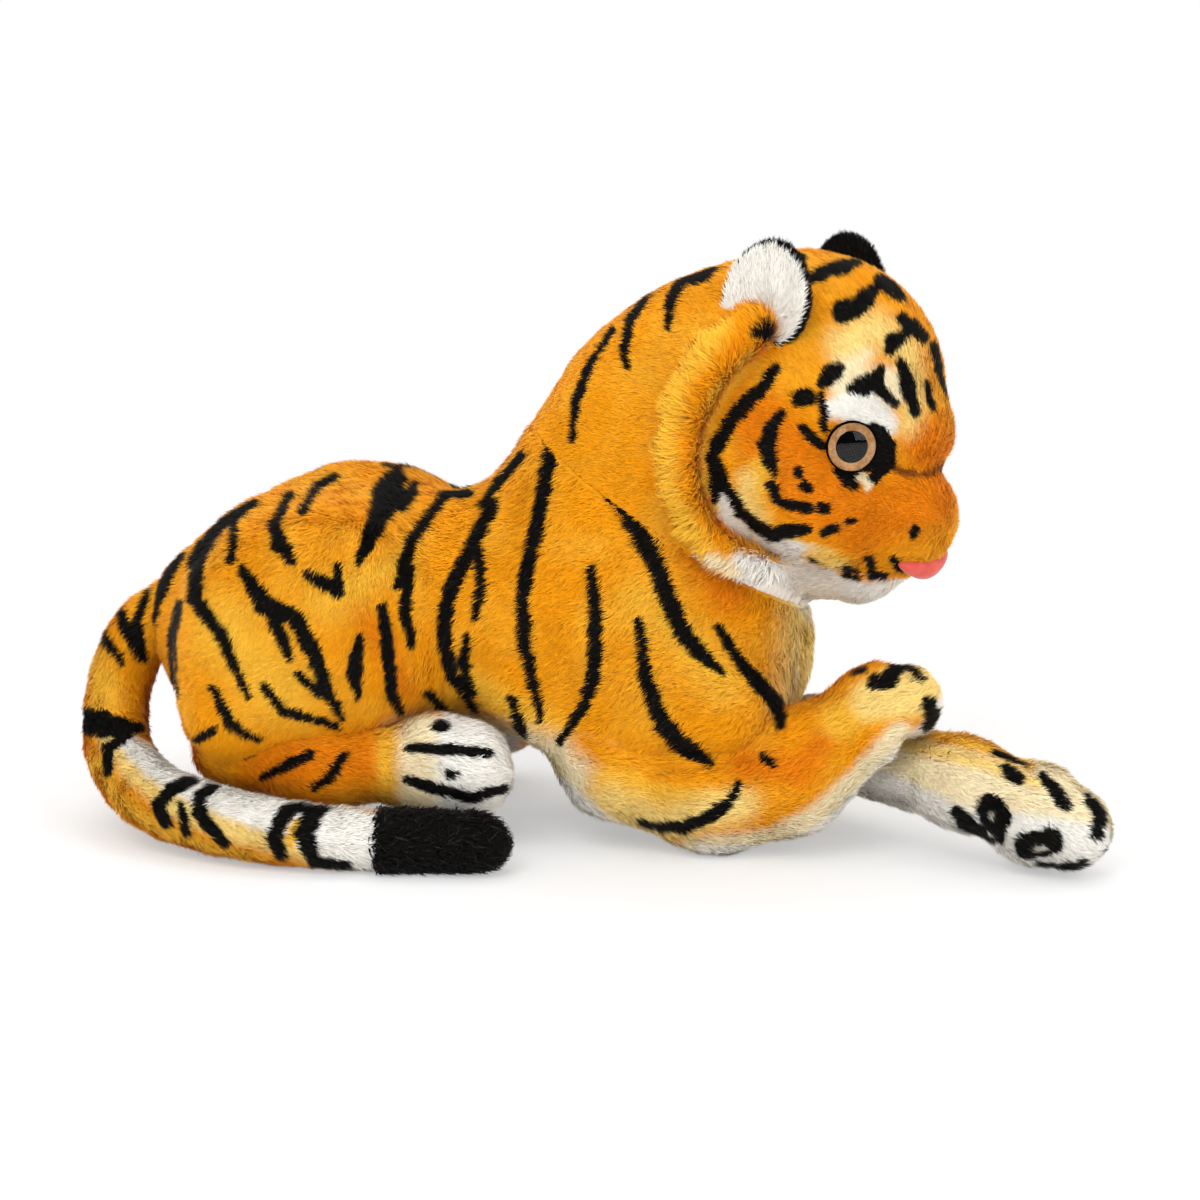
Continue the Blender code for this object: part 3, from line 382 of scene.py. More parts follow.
@dataclass(frozen=True)
class Mark:
    """One mark drawn over the pile as the photograph shows it; print, painted shade and painted
    highlights alike.

    Attributes:
        colour: linear colour of the dye, painted shade and highlight included.
        soft: width of the blurred edge in pixels.
        line: rows of x, y and width in pixels.
    """

    colour: np.ndarray
    soft: float
    line: np.ndarray

    @classmethod
    def parse(cls, text: str) -> list["Mark"]:
        """Reads marks from lines of text.

        Args:
            text: one mark a line.

        Returns:
            The marks in the order they are printed.
        """
        marks = []
        for words in filter(None, (row.split() for row in text.split("\n"))):
            line = np.array([[float(v) for v in word.split(",")] for word in words[2:]])
            line[:, 2] += STRIPE_SPREAD if words[0] == "k" else 0.0
            marks.append(cls(linear(INKS[words[0]].value), float(words[1]), line))
        return marks

    @property
    def sharp(self) -> bool:
        """Whether this is a stripe rather than a soft patch of dye or painted shade."""
        return self.soft < SHARP_EDGE

    def cover(
        self, pixels: Points, thin: np.ndarray | float = 0.0
    ) -> tuple[np.ndarray, np.ndarray]:
        """How strongly the mark covers each pixel place.

        Args:
            pixels: places in the photograph.
            thin: how much nearer its edges lie at each place, in pixels.

        Returns:
            Indices of the places that the mark reaches, and its strength there.
        """
        margin = self.line[:, 2].max() / 2 + self.soft
        low = self.line[:, :2].min(0) - margin
        high = self.line[:, :2].max(0) + margin
        near = np.flatnonzero(((pixels > low) & (pixels < high)).all(1))
        if not len(near):
            return near, np.zeros(0)
        gap = np.full(len(near), np.inf)
        for start, end in zip(self.line[:-1], self.line[1:]):
            run = end[:2] - start[:2]
            away = pixels[near] - start[:2]
            along = np.clip(away @ run / max(run @ run, 1e-6), 0, 1)
            width = start[2] + (end[2] - start[2]) * along
            aside = np.linalg.norm(away - along[:, None] * run, axis=1)
            gap = np.minimum(gap, aside - width / 2)
        if self.sharp:
            gap += np.broadcast_to(thin, len(pixels))[near]
        level = np.clip(0.5 - gap / self.soft, 0, 1)
        return near, level * level * (3 - 2 * level)


class Lens:
    """The photograph's camera, which places the printed marks on the toy."""

    def __init__(self) -> None:
        """Works out where the camera stands and how it is turned."""
        a, e = AZIMUTH, ELEVATION
        self.back = np.array(
            [math.sin(a) * math.cos(e), -math.cos(a) * math.cos(e), math.sin(e)])
        self.right = np.array([math.cos(a), math.sin(a), 0.0])
        self.above = np.cross(self.back, self.right)
        self.place = TARGET_MM + DISTANCE_MM * self.back

    def project(self, points: Points) -> Points:
        """Photograph pixels of toy points.

        Args:
            points: places in the toy's millimetres.

        Returns:
            Pixel places, x to the right and y down.
        """
        away = points - self.place
        scale = DISTANCE_MM / MM_PER_PIXEL / -(away @ self.back)
        half = PHOTO_WIDTH / 2
        return np.stack(
            [half + away @ self.right * scale, half - away @ self.above * scale], 1)


LENS = Lens()


def grain(points: Points, size: float, seed: int = 0) -> np.ndarray:
    """Smooth random values from 0 to 1 over space.

    Args:
        points: places in millimetres.
        size: width of one patch in millimetres.
        seed: which pattern.

    Returns:
        One value a point.
    """
    place = points / size + seed * 17.3
    cell = np.floor(place).astype(np.int64)
    part = place - cell
    part = part * part * (3 - 2 * part)
    total = np.zeros(len(points))
    for corner in range(8):
        step = np.array([corner & 1, corner >> 1 & 1, corner >> 2 & 1])
        key = (cell + step) @ np.array([73856093, 19349663, 83492791])
        key = (key ^ (key >> 13)) * 1274126177 & 0x7FFFFFFF
        weight = np.where(step, part, 1 - part).prod(1)
        total += weight * (key % 4096) / 4095
    return total


@dataclass(frozen=True)
class Mass:
    """One tapered, flattened capsule of stuffing, in millimetres.

    Attributes:
        start: middle of its first end.
        end: middle of its last end.
        first: radius at the first end.
        last: radius at the last end.
        flat: how much it is stretched along x, y and z.
    """

    start: np.ndarray
    end: np.ndarray
    first: float
    last: float
    flat: np.ndarray

    def depth(self, points: Points) -> np.ndarray:
        """Signed distance from the capsule's skin.

        Args:
            points: places in millimetres.

        Returns:
            One distance a point, below zero inside.
        """
        run = (self.end - self.start) / self.flat
        local = (points - self.start) / self.flat
        along = np.clip(local @ run / max(run @ run, 1e-9), 0, 1)
        reach = np.linalg.norm(local - along[:, None] * run, axis=1)
        return (reach - (self.first + (self.last - self.first) * along)) * self.flat.mean()


class Form:
    """A stuffed form: tapered masses blended into one skin.

    Attributes:
        masses: the masses.
        spine: points that the skin is drawn from.
        blend: how widely neighbouring masses flow together, in millimetres.
        planes: origin and outward axis of each plane that ends the form.
        grown_from: depth under another form's skin that this one flows out of.
    """

    def __init__(
        self, rows: Sequence[tuple], spine: Sequence[Sequence[float]], blend: float
    ) -> None:
        """Sets the form up.

        Args:
            rows: start, end, two radii and flattening of each mass.
            spine: points that the skin is drawn from.
            blend: how widely the masses flow together.
        """
        self.masses = [
            Mass(np.array(a, float), np.array(b, float), first, last,
                 np.array(flat or (1, 1, 1), float))
            for a, b, first, last, flat in rows
        ]
        self.spine = [np.array(point, float) for point in spine]
        self.blend = blend
        self.planes: list[tuple[np.ndarray, np.ndarray]] = []
        self.grown_from: Callable[[Points], np.ndarray] | None = None

    def depth(self, points: Points) -> np.ndarray:
        """Signed distance from the skin.

        Args:
            points: places in millimetres.

        Returns:
            One distance a point, below zero inside.
        """
        total = self.masses[0].depth(points)
        for near in (mass.depth(points) for mass in self.masses[1:]):
            total = self.flow_together(total, near)
        if self.grown_from:
            total = self.flow_together(total, self.grown_from(points))
        return total

    def flow_together(self, one: np.ndarray, two: np.ndarray) -> np.ndarray:
        """Depth under two skins whose meeting is filled in smoothly."""
        mix = np.maximum(self.blend - np.abs(one - two), 0) / self.blend
        return np.minimum(one, two) - mix * mix * self.blend / 4

    def beyond(self, points: Points) -> np.ndarray:
        """Height over the planes that end the form.

        Args:
            points: places in millimetres.

        Returns:
            The greatest height at each point, below zero inside.
        """
        height = np.full(len(points), -np.inf)
        for origin, axis in self.planes:
            height = np.maximum(height, (points - origin) @ axis)
        return height

    def outside(self, points: Points, offset: float) -> np.ndarray:
        """Whether each point lies outside the skin moved out by an offset."""
        return np.maximum(self.depth(points) - offset, self.beyond(points)) > 0

    def reach(self, origins: Points, rays: Points, offset: float) -> Points:
        """Where rays from inside leave the skin.

        Args:
            origins: where the rays start.
            rays: their directions.
            offset: how far the skin is moved out.

        Returns:
            One point a ray.
        """
        low = np.zeros(len(origins))
        high = np.full(len(origins), RAY_STEPS[-1])
        open_rays = np.arange(len(origins))
        for before, after in zip(RAY_STEPS[:-1], RAY_STEPS[1:]):
            out = self.outside(origins[open_rays] + rays[open_rays] * after, offset)
            hit = open_rays[out]
            low[hit], high[hit] = before, after
            open_rays = open_rays[~out]
            if not len(open_rays):
                break
        for _ in range(HALVINGS):
            middle = (low + high) / 2
            out = self.outside(origins + rays * middle[:, None], offset)
            high = np.where(out, middle, high)
            low = np.where(out, low, middle)
        return origins + rays * ((low + high) / 2)[:, None]

    def path(self, share: float) -> tuple[np.ndarray, np.ndarray]:
        """Follows the spine's smooth curve.

        Args:
            share: how far along, from 0 to 1.

        Returns:
            The point there and the direction.
        """
        points = self.spine
        spans = len(points) - 1
        place = min(share * spans, spans - 1e-9)
        index = int(place)
        t = place - index
        start, end = points[index], points[index + 1]
        before = points[index - 1] if index else 2 * start - end
        after = points[index + 2] if index + 2 <= spans else 2 * end - start
        b, c = 2 * before - 5 * start + 4 * end - after, 3 * start - before - 3 * end + after
        spot = (2 * start + (end - before) * t + b * t**2 + c * t**3) / 2
        slope = end - before + 2 * b * t + 3 * c * t**2
        return spot, slope / np.linalg.norm(slope)


@dataclass
class Skin:
    """A closed cloth skin as a grid of points, in the toy's millimetres.

    Attributes:
        points: vertex places.
        faces: triangles.
        chart: one pattern place for each corner of each triangle.
        bare: which vertices lie hidden, where no pile grows.
    """

    points: Points
    faces: np.ndarray
    chart: np.ndarray
    bare: np.ndarray

    def crosses(self) -> Points:
        """Outward directions of the faces, twice as long as their areas."""
        corners = self.points[self.faces]
        return np.cross(corners[:, 1] - corners[:, 0], corners[:, 2] - corners[:, 0])

    def normals(self) -> Points:
        """Smooth outward directions of the vertices.

        Returns:
            One direction a vertex.
        """
        cross = self.crosses()
        total = np.zeros_like(self.points)
        for k in range(3):
            np.add.at(total, self.faces[:, k], cross)
        return unit(total, 1e-9)

    def face_out(self) -> "Skin":
        """Turns the faces over where they look inwards.

        Returns:
            The same skin.
        """
        if (self.crosses() * (self.middles() - self.points.mean(0))).sum() < 0:
            self.faces = self.faces[:, ::-1].copy()
            self.chart = self.chart[:, ::-1].copy()
        return self

    def part(self, keep: np.ndarray) -> "Skin":
        """The faces of one panel.

        Args:
            keep: which faces belong to the panel.

        Returns:
            A skin with only those faces.
        """
        used, index = np.unique(self.faces[keep], return_inverse=True)
        return Skin(self.points[used], index.reshape(-1, 3), self.chart[keep], self.bare[used])

    def middles(self) -> Points:
        """Centres of the faces."""
        return self.points[self.faces].mean(1)

    def flatten(self, height: float = FLOOR_GAP) -> None:
        """Presses the skin flat on the floor.

        Args:
            height: how high its cloth then lies.
        """
        self.points[self.points[:, 2] < height, 2] = height

    def dent(self, line: str, depth: float) -> None:
        """Draws the cloth in along a sewn seam.

        Args:
            line: the seam in the photograph's pixels, with its width at each point.
            depth: how far the cloth is drawn in, in millimetres.
        """
        mark = Mark.parse("k 9 " + line)[0]
        normals = self.normals()
        facing = normals @ LENS.back > 0
        near, level = mark.cover(LENS.project(self.points))
        chosen = near[facing[near]]
        self.points[chosen] -= normals[chosen] * (level[facing[near]] * depth)[:, None]


def ring_rays(
    form: Form, stations: Sequence[tuple[float, float]], around: int, upright: Sequence[float]
) -> tuple[Points, Points]:
    """Rays from a form's spine in rings, and one from each end.

    Args:
        form: the stuffed form.
        stations: share along the spine and tilt of each ring, -1 to 1 from end to end.
        around: rays in a ring.
        upright: a direction that the rings are squared to.

    Returns:
        Their origins and directions.
    """
    angles = np.arange(around) * 2 * math.pi / around
    origins, rays = [], []
    for share, tilt in stations:
        centre, forward = form.path(share)
        side = np.cross(upright, forward)
        side /= np.linalg.norm(side)
        above = np.cross(forward, side)
        lean = tilt * math.pi / 2
        ring = np.outer(np.cos(angles), side) + np.outer(np.sin(angles), above)
        rays.append(ring * math.cos(lean) + forward * math.sin(lean))
        origins.append(np.repeat(centre[None], around, 0))
    for share, sign in ((0.0, -1.0), (1.0, 1.0)):
        centre, forward = form.path(share)
        origins.append(centre[None])
        rays.append(sign * forward[None])
    return np.concatenate(origins), np.concatenate(rays)


def loft(
    form: Form, step: float, offset: float = -SKIN_DEPTH,
    upright: Sequence[float] = (0.0, 0.0, 1.0),
) -> Skin:
    """Draws a form's skin in rings along its spine, with round ends.

    Args:
        form: the stuffed form.
        step: the wished distance between vertices in millimetres.
        offset: how far out of the form's skin.
        upright: a direction that the rings are squared to.

    Returns:
        The closed skin.
    """
    length = sum(np.linalg.norm(b - a) for a, b in zip(form.spine, form.spine[1:]))
    radius = max(mass.first * mass.flat.max() for mass in form.masses)
    along = max(int(length / step), 6)
    caps = max(int(radius * 1.6 / step), 5)
    around = max(int(2 * math.pi * radius / step), 12)
    stations = [(0.0, (k - caps) / caps) for k in range(1, caps)]
    stations += [(k / along, 0.0) for k in range(along + 1)]
    stations += [(1.0, k / caps) for k in range(1, caps)]
    points = form.reach(*ring_rays(form, stations, around, upright), offset)
    rows = len(stations)
    k = np.arange(around)
    n = (k + 1) % around
    left, right = k / around, (k + 1) / around
    faces, chart = [], []
    for row in range(rows - 1):
        a, b = row * around, (row + 1) * around
        low, high = left * 0 + row / rows, left * 0 + (row + 1) / rows
        faces += [np.stack([a + k, a + n, b + n], 1), np.stack([a + k, b + n, b + k], 1)]
        corner = [
            np.stack(pair, 1) for pair in ((left, low), (right, low), (right, high), (left, high))]
        chart += [np.stack(corner[:3], 1), np.stack([corner[0], corner[2], corner[3]], 1)]
    first, last = rows * around, rows * around + 1
    end = (rows - 1) * around
    faces += [np.stack([n, k, k * 0 + first], 1), np.stack([end + k, end + n, k * 0 + last], 1)]
    chart += [np.zeros((around, 3, 2)), np.ones((around, 3, 2))]
    bare = form.beyond(points) > -CUT_MARGIN
    return Skin(points, np.concatenate(faces), np.concatenate(chart), bare).face_out()


@dataclass(frozen=True)
class Pile:
    """How the pile stands on one piece of plush.

    Attributes:
        length: fibre length in millimetres.
        width: width of a lock at its root in millimetres.
        lean: angle of the pile above the cloth in degrees.
        count: locks for each square millimetre.
        scatter: how far the locks stray from the combed direction.
        curl: how much a lock bows over.
        swirl: how far whole patches are brushed aside, in radians.
        uneven: how far single locks stray from the lean, in radians.
        rise: how far whole patches rise and fall, in radians.
        twist: how far a lock is turned about itself, in radians.
    """

    length: float = 4.6
    width: float = 0.36
    lean: float = 34.0
    count: float = 3.1
    scatter: float = 0.24
    curl: float = 0.25
    swirl: float = 1.1
    uneven: float = 0.13
    rise: float = 0.5
    twist: float = 0.35


@dataclass
class PlushPiece:
    """A panel of plush: cloth backing and the pile that grows on it.

    Attributes:
        name: the piece's name.
        body: the moving body it rides on.
        nodes: the CAD nodes it stands for.
        slot: the record's material slot; not used.
        skin: the cloth.
        pile: how the pile stands.
        flow: the combed direction at points with given normals.
        paint: dye, with marks of painted shade and highlight, at points with given normals.
        inside: forms that hide this piece where it sinks into them.
        fill: how full it is stuffed; not used.
    """

    name: str
    body: str
    nodes: tuple[str, ...]
    slot: str
    skin: Skin
    pile: Pile
    flow: Flow
    paint: Paint
    inside: tuple[Form, ...] = ()
    fill: float = 0.8

    def build(self, material: bpy.types.Material) -> bpy.types.Object:
        """Makes the mesh object, sets it on its body and hides the CAD nodes it stands for.

        Args:
            material: the plush material.

        Returns:
            The finished object.
        """
        rng = np.random.default_rng([SEED, *self.name.encode()])
        normals = self.skin.normals()
        shade = self.paint(self.skin.points, normals)
        # painted shade: the cloth under the pile is drawn darker, pale dyes less so
        shade *= CLOTH_SHADE + CLOTH_LIFT * shade.min(1)[:, None]
        locks = self.locks(normals, rng)
        points = np.concatenate([self.skin.points, locks["points"]])
        faces = np.concatenate([self.skin.faces, locks["faces"] + len(self.skin.points)])
        directions = np.concatenate([normals, locks["normals"]])
        colours = np.concatenate([shade, locks["colours"]])
        chart = np.concatenate([self.skin.chart, locks["chart"]])
        obj = mesh_object(self.name, points, faces, material, directions, colours, chart)
        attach(obj, self.body)
        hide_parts(*self.nodes)
        return obj

    def roots(
        self, normals: Points, rng: np.random.Generator
    ) -> tuple[Points, Points, np.ndarray]:
        """Spreads the roots of the locks over the cloth.

        Args:
            normals: directions of the cloth's vertices.
            rng: random numbers of this piece.

        Returns:
            Places, directions of the cloth there, and chart places.
        """
        skin = self.skin
        grown = ~skin.bare[skin.faces].any(1)
        faces, chart = skin.faces[grown], skin.chart[grown]
        corners = skin.points[faces]
        area = np.linalg.norm(
            np.cross(corners[:, 1] - corners[:, 0], corners[:, 2] - corners[:, 0]), axis=1) / 2
        count = self.pile.count * 1.0
        pick = np.repeat(np.arange(len(faces)), rng.poisson(area * count))
        mix = rng.random((len(pick), 3)) + 1e-6
        mix = -np.log(mix / (1 + 2e-6))
        mix /= mix.sum(1)[:, None]
        root = (corners[pick] * mix[:, :, None]).sum(1)
        normal = unit((normals[faces[pick]] * mix[:, :, None]).sum(1))
        place = (chart[pick] * mix[:, :, None]).sum(1)
        keep = np.ones(len(root), bool)
        for form in self.inside:
            keep &= form.depth(root) > -SKIN_DEPTH - BURIED
        return root[keep], normal[keep], place[keep]

    def dye(
        self, root: Points, tip: Points, normal: Points, rng: np.random.Generator
    ) -> Points:
        """Colours the locks: dye with painted shade at the root, painted light at the tip and a few
        painted glints.

        Args:
            root: where the locks grow.
            tip: where they end.
            normal: direction of the cloth.
            rng: random numbers of this piece.

        Returns:
            Linear colours of the five points of each lock.
        """
        count = len(root)
        spot = root * (1 - DYE_AT) + tip * DYE_AT + rng.normal(0, DYE_STRAY, (count, 3))
        seen = self.paint(spot, normal)
        value = 1 + rng.normal(0, LOCK_TONE, count) + (grain(root, *SPECKS) - 0.5) * SPECK_TONE
        value *= 1 + (grain(root, *CLOUDS) - 0.5) * CLOUD_TONE
        # painted glints: a share of locks is drawn lighter, black ones just above black
        bright = rng.random(count) < GLINT_SHARE
        seen = seen * value[:, None]
        seen[bright] = seen[bright] * 0.75 + seen[bright] ** 0.6 * 0.3 + 0.006
        # painted shade darkens each lock towards its root and painted light brightens its tip, less
        # so on pale dyes
        lift = seen.min(1)[:, None, None] * LOCK_LIFT
        colours = seen[:, None, :] * (LOCK_SHADES[None, :, None] * (1 - lift) + lift)
        return np.clip(colours.reshape(-1, 3), 0, 1)

    def locks(self, normals: Points, rng: np.random.Generator) -> dict[str, np.ndarray]:
        """Grows the pile's locks on the cloth.

        Args:
            normals: directions of the cloth's vertices.
            rng: random numbers of this piece.

        Returns:
            Points, faces, normals, colours and chart places of the locks.
        """
        pile = self.pile
        root, normal, place = self.roots(normals, rng)
        count = len(root)
        combed = self.flow(root, normal)
        combed = unit(combed - (combed * normal).sum(1)[:, None] * normal, 1e-6)
        side = np.cross(normal, combed)
        swirl = (grain(root, *COMB_PATCH) - 0.5) * pile.swirl
        swirl = swirl + rng.normal(0, pile.scatter, count)
        combed = combed * np.cos(swirl)[:, None] + side * np.sin(swirl)[:, None]
        lean = np.radians(pile.lean) + rng.normal(0, pile.uneven, count)
        lean = lean + (grain(root, *RISE_PATCH) - 0.5) * pile.rise
        lean = np.clip(lean, LEAST_LEAN, MOST_LEAN)
        fibre = combed * np.cos(lean)[:, None] + normal * np.sin(lean)[:, None]
        length = pile.length * (SHORTEST + LENGTH_SPREAD * rng.random(count))
        length = length * (LOW_PATCH + PATCH_SPREAD * grain(root, *LENGTH_PATCH))
        width = unit(np.cross(fibre, normal))
        twist = rng.normal(0, pile.twist, count)
        width = width * np.cos(twist)[:, None] + np.cross(fibre, width) * np.sin(twist)[:, None]
        wide = pile.width * (NARROWEST + WIDTH_SPREAD * rng.random(count))
        half = width * (wide / 2)[:, None]
        middle = root + fibre * (length * BEND_AT)[:, None]
        bow = combed * (length * pile.curl * BOW_ON)[:, None]
        bow = bow - normal * (length * pile.curl * BOW_DOWN)[:, None]
        tip = root + fibre * length[:, None] + bow
        tip[:, 2] = np.maximum(tip[:, 2], TIP_FLOOR)
        middle[:, 2] = np.maximum(middle[:, 2], TIP_FLOOR)
        bent = half * BEND_WIDTH
        points = [root - half, root + half, middle + bent, middle - bent, tip]
        index = np.arange(count)[:, None] * 5
        return {
            "points": np.stack(points, 1).reshape(-1, 3),
            "faces": np.concatenate([index + [0, 1, 2], index + [0, 2, 3], index + [3, 2, 4]]),
            "normals": np.repeat(normal, 5, axis=0),
            "colours": self.dye(root, tip, normal, rng),
            "chart": np.tile(np.repeat(place[:, None], 3, axis=1), (3, 1, 1)),
        }


def mesh_object(
    name: str, points: Points, faces: np.ndarray, material: bpy.types.Material,
    normals: Points | None = None, colours: Points | None = None, chart: np.ndarray | None = None,
) -> bpy.types.Object:
    """Makes an object from arrays in the toy's millimetres.

    Args:
        name: the object's name.
        points: vertex places.
        faces: triangles or quads.
        material: its material.
        normals: directions used for shading.
        colours: linear colours of the vertices.
        chart: pattern place of each corner.

    Returns:
        The object, linked to the scene.
    """
    data = bpy.data.meshes.new(name)
    sides = faces.shape[1]
    data.vertices.add(len(points))
    data.vertices.foreach_set("co", ((points + SHIFT_MM) * MM).astype(np.float32).ravel())
    data.loops.add(faces.size)
    data.loops.foreach_set("vertex_index", faces.astype(np.int32).ravel())
    data.polygons.add(len(faces))
    data.polygons.foreach_set("loop_start", np.arange(len(faces), dtype=np.int32) * sides)
    data.polygons.foreach_set("use_smooth", np.ones(len(faces), bool))
    data.update(calc_edges=True)
    if colours is not None:
        # vertex colours: dye with painted shade and painted glints
        paint = data.color_attributes.new("Dye", "FLOAT_COLOR", "POINT")
        full = np.concatenate([colours, np.ones((len(colours), 1))], 1)
        paint.data.foreach_set("color", full.astype(np.float32).ravel())
    if chart is not None:
        layer = data.uv_layers.new(name="OFBake")
        layer.data.foreach_set("uv", chart.astype(np.float32).ravel())
    if normals is not None:
        free = data.attributes.new("custom_normal", "FLOAT_VECTOR", "POINT")
        free.data.foreach_set("vector", normals.astype(np.float32).ravel())
    data.materials.append(material)
    return linked(name, data)


def linked(name: str, data: bpy.types.ID) -> bpy.types.Object:
    """Makes an object of a mesh, lamp or camera and puts it in the scene.

    Args:
        name: the object's name.
        data: what it shows.

    Returns:
        The object.
    """
    obj = bpy.data.objects.new(name, data)
    bpy.context.scene.collection.objects.link(obj)
    return obj


class Painter:
    """Paints printed marks, and marks of painted shade and highlight, over a ground colour,
    mirrored where the camera can't see.

    Attributes:
        ground: the cloth's own dye.
        patchy: how strongly paler patches show in it.
        marks: printed marks and marks of painted shade and highlight, in order.
        place: the frame that the toy part is mirrored in, or None for no mirroring.
    """

    def __init__(
        self, ground: Ink, marks: Sequence[str] = (), place: Matrix | None = None
    ) -> None:
        """Reads the marks.

        Args:
            ground: the cloth's own dye.
            marks: texts of printed marks and marks of painted shade and highlight, in order.
            place: the frame that the part is mirrored in.
        """
        self.ground = linear(ground.value)
        self.patchy = 1.0 if ground is Ink.ORANGE else 0.0
        self.marks = [mark for text in marks for mark in Mark.parse(text)]
        self.place = place

    def shown(self, points: Points, normals: Points) -> tuple[Points, np.ndarray]:
        """Moves what the camera can't see over to the side that it can.

        Args:
            points: places in the toy's millimetres.
            normals: outward directions there.

        Returns:
            Places to read the marks at, and how far each faces the camera.
        """
        facing = normals @ LENS.back
        if self.place is None:
            return points, facing
        matrix = np.array(self.place)
        turn, origin = matrix[:3, :3], matrix[:3, 3]
        local = (points - origin) @ turn
        far = (local[:, 1] > 0) & (facing < 0.05)
        local[far, 1] *= -1
        facing = np.where(far, (normals @ turn * [1, -1, 1]) @ (LENS.back @ turn), facing)
        return local @ turn.T + origin, facing

    def __call__(self, points: Points, normals: Points) -> Points:
        """Colour at points: printed dye, with a few marks of painted shade and highlight.

        Args:
            points: places in the toy's millimetres.
            normals: outward directions there.

        Returns:
            Linear colours.
        """
        places, facing = self.shown(points, normals)
        drift = np.stack([grain(places, *DRIFT_ACROSS), grain(places, *DRIFT_DOWN)], 1) - 0.5
        pixels = LENS.project(places) + drift * DRIFT
        colour = np.repeat(self.ground[None], len(points), 0)
        colour *= (1 + (grain(places, *GROUND_CLOUDS) - 0.5) * GROUND_TONE)[:, None]
        thin = np.clip(THIN_FROM - facing, 0, 1) * THINNING
        patch = np.clip(grain(places, *GOLD_PATCHES) * 1.7 - 0.6, 0, 1)
        patch = patch * GOLD_STRENGTH * self.patchy
        colour += (linear(Ink.GOLD.value) - colour) * patch[:, None]
        for mark in self.marks:
            near, level = mark.cover(pixels, thin)
            colour[near] += (mark.colour - colour[near]) * level[:, None]
        return colour


def add_node(
    tree: bpy.types.NodeTree, kind: str, values: dict | None = None, **settings: str
) -> bpy.types.Node:
    """Adds a node, sets it up and gives it constants.

    Args:
        tree: the node tree.
        kind: the node's type.
        values: constants or linked sockets by input name or index.
        settings: plain properties of the node.

    Returns:
        The node.
    """
    node = tree.nodes.new(kind)
    for key, value in settings.items():
        setattr(node, key, value)
    for key, value in (values or {}).items():
        if isinstance(value, bpy.types.NodeSocket):
            tree.links.new(value, node.inputs[key])
        else:
            node.inputs[key].default_value = value
    return node


def empty_tree(owner: bpy.types.Material | bpy.types.World) -> bpy.types.NodeTree:
    """Switches a material's or world's nodes on and empties them.

    Args:
        owner: the material or world.

    Returns:
        Its node tree.
    """
    owner.use_nodes = True
    owner.node_tree.nodes.clear()
    return owner.node_tree


@dataclass(frozen=True)
class Finish:
    """A surface finish.

    Attributes:
        name: the material's name.
        colour: hex colour where no dye attribute is used.
        dark: hex colour of its variation.
        roughness: surface roughness.
        grain_mm: size of its pattern in real millimetres.
        bump_mm: height of its relief in millimetres.
        sheen: strength of the soft glow at grazing angles.
        specular: strength of its highlights.
        metallic: how metallic it looks.
        dyed: whether the colour comes from the pile's attribute of dye, painted shade and painted
            glints.
    """

    name: str
    colour: str
    dark: str
    roughness: float
    grain_mm: float
    bump_mm: float = 0.0
    sheen: float = 0.0
    specular: float = 0.5
    metallic: float = 0.0
    dyed: bool = False

    def build(self) -> bpy.types.Material:
        """Makes the node material.

        Returns:
            The material.
        """
        material = bpy.data.materials.new(self.name)
        tree = empty_tree(material)
        place = add_node(tree, "ShaderNodeTexCoord").outputs["Object"]
        scale = 1 / (self.grain_mm * MM)
        fine = add_node(tree, "ShaderNodeTexNoise", {
            "Vector": place, "Scale": scale, "Detail": 3.0, "Roughness": 0.6}).outputs["Fac"]
        broad = add_node(tree, "ShaderNodeTexNoise", {
            "Vector": place, "Scale": 1 / (self.grain_mm * 9 * MM), "Detail": 2.0}).outputs["Fac"]
        if self.dyed:
            # vertex colours: dye with painted shade and painted glints
            dye = add_node(tree, "ShaderNodeAttribute", attribute_name="Dye").outputs["Color"]
            spread = add_node(tree, "ShaderNodeMapRange", {
                "Value": fine, "To Min": 0.86, "To Max": 1.12}).outputs[0]
            colour = add_node(
                tree, "ShaderNodeVectorMath", {0: dye, 1: spread}, operation="MULTIPLY").outputs[0]
        else:
            mix = add_node(
                tree, "ShaderNodeMath", {0: fine, 1: broad}, operation="MULTIPLY").outputs[0]
            ramp = add_node(tree, "ShaderNodeMapRange", {
                "Value": mix, "From Min": 0.12, "From Max": 0.4}).outputs[0]
            colour = add_node(tree, "ShaderNodeMix", {
                "Factor": ramp, MIX_A: (*linear(self.dark), 1), MIX_B: (*linear(self.colour), 1),
            }, data_type="RGBA").outputs[MIX_RESULT]
        shader = add_node(tree, "ShaderNodeBsdfPrincipled", {
            "Base Color": colour, "Roughness": self.roughness, "Metallic": self.metallic,
            "Specular IOR Level": self.specular, "Sheen Weight": self.sheen,
            "Sheen Roughness": 0.45, "Coat Weight": 0.0, "Coat Roughness": 0.04,
        })
        if self.bump_mm:
            bump = add_node(tree, "ShaderNodeBump", {
                "Height": fine, "Strength": 0.6, "Distance": self.bump_mm * MM})
            tree.links.new(bump.outputs[0], shader.inputs["Normal"])
        add_node(tree, "ShaderNodeOutputMaterial", {"Surface": shader.outputs[0]})
        return material


# Cut pile of fine fibre on a knitted back: soft and streaky, with a glow at its edge
PLUSH = Finish(
    "knitted_pile_plush", "#EA9416", "#C87808", 0.72, 1.3, sheen=0.06, specular=0.10, dyed=True)
# Short brushed velour: matt, with a faint nap
NOSE_CLOTH = Finish(
    "brushed_coral_velour", "#DC5A4C", "#C44238", 0.62, 0.5,
    bump_mm=0.15, sheen=0.3, specular=0.4)
